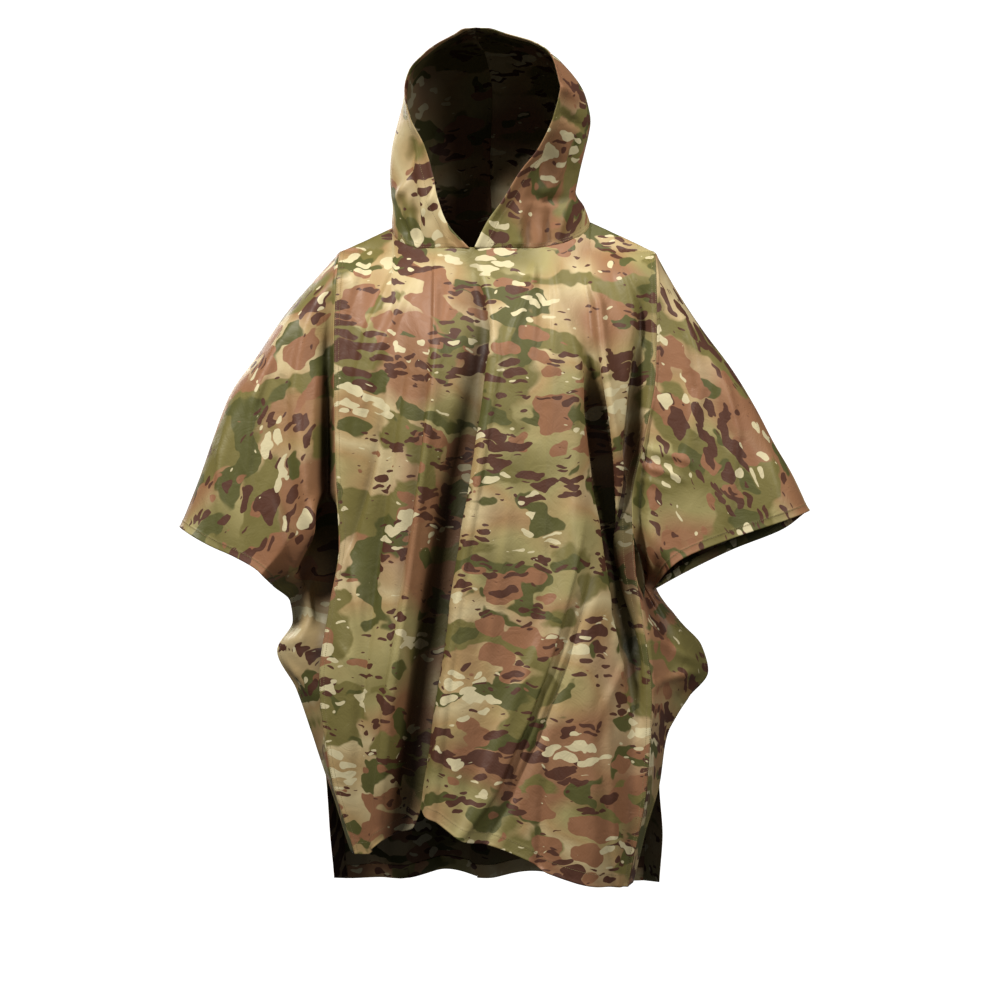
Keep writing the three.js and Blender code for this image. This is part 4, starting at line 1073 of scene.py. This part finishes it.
def gore_grid(side, rows):
    """Shares of the gore's width: close together at the seam and, above the underarm, in the sleeve's hem."""
    seam = gore_surface(side, np.zeros_like(rows), rows)
    end = gore_surface(side, np.ones_like(rows), rows)
    width = np.maximum(np.linalg.norm(end - seam, axis=-1), 60)
    near = np.array(EDGE_MM)[None] / width[:, None]
    far = 1 - np.array(GORE_HEM_MM)[None] / width[:, None]
    far = np.maximum(far, 0.52)
    near = np.minimum(near, 0.42)
    t = np.linspace(0, 1, 58)[1:-1]
    middle = near[:, -1:] + (far[:, :1] - near[:, -1:]) * t[None]
    return np.concatenate([near, middle, far], 1), width


# %% Left and right gore
for side, seed, cut_from in (("left", 51, (1.7, 5.2)), ("right", 71, (5.9, 2.6))):
    rows = gore_rows(84)
    a, width = gore_grid(side, rows)
    r = np.repeat(rows[:, None], a.shape[1], axis=1)
    outward = 1 if side == "left" else -1
    base = gore_surface(side, a, r)
    x, z = base[..., 0], base[..., 2]
    from_seam = a * width[:, None]
    from_edge = (1 - a) * width[:, None]
    from_hem = (1 - np.abs(r)) * BODY_LENGTH
    front = crease_height(x, z, SLEEVE_CREASES[side, "front"])
    back = crease_height(x, z, SLEEVE_CREASES[side, "back"])
    over_arm = ease(np.abs(r) / 0.06)
    drawn = np.where(r >= 0, front, back) * over_arm
    height = drawn + cloth_relief(x, z + 40 * np.sign(r), seed) * over_arm
    height *= ease(from_seam / 8) * ease(from_edge / 26 + 0.25)
    in_sleeve = ease((UNDERARM_V - np.abs(r)) / 0.02)
    height += seam_relief(from_seam) + (hem_relief(from_edge, SLEEVE_HEM) + rolled_edge(from_edge)) * in_sleeve
    height += pucker(z, from_seam - 9, seed + 5) + pucker(x, from_edge - 13, seed + 6)
    points, normal = dressed(base, outward, height)
    cut = gore_cut(base, r)
    sewn[side] = (points, normal, cut, outward, cut_from)
    piece = cloth_wall(f"sleeve_{side}_cloth", points, normal, cut, outward, cut_from=cut_from, painted_shade=painted_shade_of(drawn))
    piece.data.materials.append(OUTER)
    piece.data.materials.append(INNER)
    sewn[side + " piece"] = piece
    print(piece.name, "area", round(cloth_area(points), 3), "m2,", len(piece.data.polygons), "faces")

# %% [markdown]
# ## Hood
#
# Two halves meet in a felled seam from the crown to the back of the neck. The face edge is turned in and stitched
# to make a flat rim. The cloth is gathered a little at the neck seam, which leaves short tucks above it.

# %% Hood halves
RIM_MM = [0, 1.5, 4, 8, 11, 19, 21, 22.5, 24, 25.5, 30]
HOOD_DROP = -1.2
CROWN_SAG = 14


def rim_bead(from_rim):
    """The rim's fold is fuller than a hem's: the turned strip makes it stand out."""
    return 2.6 * bell((from_rim - 4) / 6)


def hood_grid(side, rows):
    """Shares round a hood half: the first columns keep their distance from the face edge at every height."""
    fine = np.linspace(0, 0.9, 160)
    run = lengths(hood_half(side, *np.meshgrid(fine, rows)), 1)
    near = np.stack([np.interp(RIM_MM, line, fine) for line in run])
    t = np.linspace(0, 1, 26)[1:]
    middle = near[:, -1:] + (1 - near[:, -1:]) * t[None]
    round_back = np.concatenate([np.linspace(1, 1.93, 42)[1:-1], np.linspace(1.93, 2, 8)])
    return np.concatenate([near, middle, np.tile(round_back, (len(rows), 1))], 1)


for side, seed, cut_from in (("left", 91, (7.3, 0.8)), ("right", 111, (2.2, 8.1))):
    levels = np.concatenate([np.linspace(0, 0.05, 8)[:-1], np.linspace(0.05, 0.9, 66)[:-1], np.linspace(0.9, 1, 18)])
    h = hood_grid(side, levels)
    w = np.repeat(levels[:, None], h.shape[1], axis=1)
    outward = -1 if side == "left" else 1
    base = hood_half(side, h, w) + np.array([0, 0, HOOD_DROP])
    base[..., 2] -= CROWN_SAG * ease((base[..., 2] - 215) / 185)
    x, z = base[..., 0], base[..., 2]
    across = lengths(base, 1)
    from_rim = across
    from_middle = across[:, -1:] - across
    from_neck = lengths(base, 0)
    front = crease_height(x, z, HOOD_CREASES[side, "front"])
    back = crease_height(x, z, HOOD_CREASES[side, "back"])
    blend = ease((h - 0.9) / 0.2)
    crown = ease((1 - w) / 0.12)
    drawn = mix(front, back, blend)
    height = drawn + 0.8 * cloth_relief(x + 150 * h, z, seed)
    height *= crown * ease(from_middle / 20) * ease(from_rim / 14 + 0.3) * ease(from_neck / 12)
    height += (seam_relief(from_middle) + hem_relief(from_rim) + rim_bead(from_rim)) * ease((1 - w) / 0.05)
    height += pucker(x, from_neck - 6, seed + 5) + pucker(z, from_rim - 20, seed + 6) * crown
    points, normal = dressed(base, outward, height)
    cut = panel_cut(points)
    sewn["hood " + side] = (points, normal, cut, outward, cut_from)
    piece = cloth_wall(f"hood_{side}_cloth", points, normal, cut, outward, cut_from=cut_from, painted_shade=painted_shade_of(drawn))
    piece.data.materials.append(OUTER)
    piece.data.materials.append(INNER)
    sewn["hood " + side + " piece"] = piece
    print(piece.name, "area", round(cloth_area(points), 3), "m2,", len(piece.data.polygons), "faces")

# %% [markdown]
# ## Turned hems
#
# A raw edge of coated cloth is folded inwards and stitched, so a strip of the right side shows on the inside.
# Each hem is the panel's own last rows or columns again, laid against the inside of the panel.

# %% Strips turned in along the edges
def turned_hem(name, key, rows, columns):
    points, normal, cut, outward, cut_from = (sewn[key])
    lift = -(SHELL / 2 + 0.25 + HEM_SHELL / 2)
    part = (rows, columns)
    made = cloth_wall(name, points[part], normal[part], cut[part], outward, HEM_SHELL, lift, (cut_from[0] + 0.4, cut_from[1] + 0.7))
    made.data.materials.append(INNER)
    made.data.materials.append(OUTER)
    print(name, len(made.data.polygons), "faces")
    return made


gore_r = gore_rows(84)
opening = np.flatnonzero(np.abs(gore_r) < UNDERARM_V - 0.002)
sleeve_part = slice(opening[0], opening[-1] + 1)
hems = {
    "front": [turned_hem("front_hem_cloth", "front", slice(-8, None), slice(1, -1))],
    "back": [turned_hem("back_hem_cloth", "back", slice(-8, None), slice(1, -1))],
    "left": [turned_hem("sleeve_left_hem_cloth", "left", sleeve_part, slice(-7, None))],
    "right": [turned_hem("sleeve_right_hem_cloth", "right", sleeve_part, slice(-7, None))],
    "hood left": [turned_hem("hood_left_rim_cloth", "hood left", slice(2, -2), slice(0, 9))],
    "hood right": [turned_hem("hood_right_rim_cloth", "hood right", slice(2, -2), slice(0, 9))],
}

# %% [markdown]
# ## Sewing it
#
# Every long seam is felled and shows two rows of stitches, and every hem one or two. The rows follow the grid's
# own lines, so they sit in the dimples that were pressed into the cloth for them.

# %% Rows of stitches on each piece
def row_line(key, index, first=0, last=None):
    points, normal = sewn[key][:2]
    line, up = line_at(points, normal, index % points.shape[0], 0)
    return line[first:last], up[first:last]


def column_line(key, index, first=0, last=None):
    points, normal = sewn[key][:2]
    line, up = line_at(points, normal, index % points.shape[1], 1)
    return line[first:last], up[first:last]


stitches = {}
for face in ("front", "back"):
    seams = [column_line(face, i, 2, -1) for i in (1.45, 3.8, -2.45, -4.8)]
    stitches[face] = stitch_rows(f"{face}_panel_stitches", seams + [row_line(face, -6.5, 1, -1)], THREAD_FINISH)
below = int(np.searchsorted(gore_r, -UNDERARM_V)), int(np.searchsorted(gore_r, UNDERARM_V))
for side in ("left", "right"):
    sleeve = [column_line(side, i, opening[0], opening[-1]) for i in (-6, -5)]
    vent = [column_line(side, -4, 2, below[0]), column_line(side, -4, below[1], -2)]
    hem = [row_line(side, 3.2, 8, -2), row_line(side, -4.2, 8, -2)]
    stitches[side] = stitch_rows(f"sleeve_{side}_stitches", sleeve + vent, THREAD_FINISH)
    neck = [row_line("hood " + side, i, 9, -2) for i in (1.2, 2.6)]
    crown = [column_line("hood " + side, i, 3, -2) for i in (-2.2, -4.6)]
    rim = [column_line("hood " + side, 5.6, 3, -2)]
    stitches["hood " + side] = stitch_rows(f"hood_{side}_stitches", neck + crown + rim, THREAD_FINISH)

# %% [markdown]
# ## What each piece stands for
#
# All cloth rides on the one rigid body and replaces its plain solids.

# %% Riding and replacing
bpy.context.view_layer.update()
STANDS_FOR = {
    "front": ("front_panel", "front_hem"), "back": ("back_panel", "back_hem"),
    "left": ("sleeve_left", "sleeve_hem_left"), "right": ("sleeve_right", "sleeve_hem_right"),
    "hood left": ("hood_left", "hood_rim"), "hood right": ("hood_right", "hood_rim")}
for key, (solid, hem_solid) in STANDS_FOR.items():
    piece, strips, thread = sewn[key + " piece"], hems[key], stitches[key]
    for each in (piece, *strips, thread):
        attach(each, "root")
    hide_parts(solid)
    for strip in strips:
        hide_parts(hem_solid)

# %% [markdown]
# ## White wall, lights and camera
#
# A white wall stands far behind the garment and just fills the picture. A white floor would throw light up into
# the side gores and grey them, so there is none.

# %% Wall behind the garment
WALL_Y = 9.0
WALL_HALF = 2.4
WALL_Z = (-3.1, 1.8)
wall_mesh = bpy.data.meshes.new("studio_wall")
wall_mesh.from_pydata([(x, WALL_Y, z) for z in WALL_Z for x in (-WALL_HALF, WALL_HALF)], [], [(0, 1, 3, 2)])
floor = bpy.data.objects.new("studio_wall", wall_mesh)
bpy.context.scene.collection.objects.link(floor)
white = bpy.data.materials.new("studio_white")
white.use_nodes = True
shader = white.node_tree.nodes["Principled BSDF"]
shader.inputs["Base Color"].default_value = (0.8, 0.8, 0.8, 1)
shader.inputs["Roughness"].default_value = 0.9
shader.inputs["Emission Color"].default_value = (1, 1, 1, 1)
shader.inputs["Emission Strength"].default_value = 1.0
floor.data.materials.append(white)
floor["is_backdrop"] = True

world = bpy.data.worlds.new("studio_air")
bpy.context.scene.world = world
world.use_nodes = True
world.node_tree.nodes["Background"].inputs["Color"].default_value = (1, 0.98, 0.94, 1)
world.node_tree.nodes["Background"].inputs["Strength"].default_value = 0.1


def soft_light(name, place, aim, size, power):
    data = bpy.data.lights.new(name, "AREA")
    data.size = size
    data.energy = power
    data.color = (1.0, 0.95, 0.87)
    light = bpy.data.objects.new(name, data)
    light.location = place
    light.rotation_euler = (Vector(aim) - Vector(place)).to_track_quat("-Z", "Y").to_euler()
    bpy.context.scene.collection.objects.link(light)


soft_light("key_light", (-1.9, -2.3, 2.0), (0, 0, -0.2), 0.6, 180)
soft_light("fill_light", (2.5, -3.0, 1.1), (0, 0, -0.1), 1.0, 72)
soft_light("top_light", (1.5, -1.0, 2.4), (0.1, 0, 0.1), 0.9, 62)
soft_light("back_light", (-2.2, 3.4, 1.0), (0, 0, -0.4), 1.4, 60)

camera_data = bpy.data.cameras.new("camera")
camera = bpy.data.objects.new("camera", camera_data)
bpy.context.scene.collection.objects.link(camera)
target = Vector((0.018, 0.0, -0.45))
camera.location = target + Vector((0, -7.0, 0.16))
camera.rotation_euler = (target - camera.location).to_track_quat("-Z", "Y").to_euler()
camera_data.sensor_width = 36
camera_data.lens = 36 * 7.0 / 1.8
bpy.context.scene.camera = camera
bpy.context.scene.view_settings.view_transform = "Standard"

def plain(box):
    return json.loads(json.dumps(box, default=list))


{"cad": plain(cad_box), "scene": plain(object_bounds())}
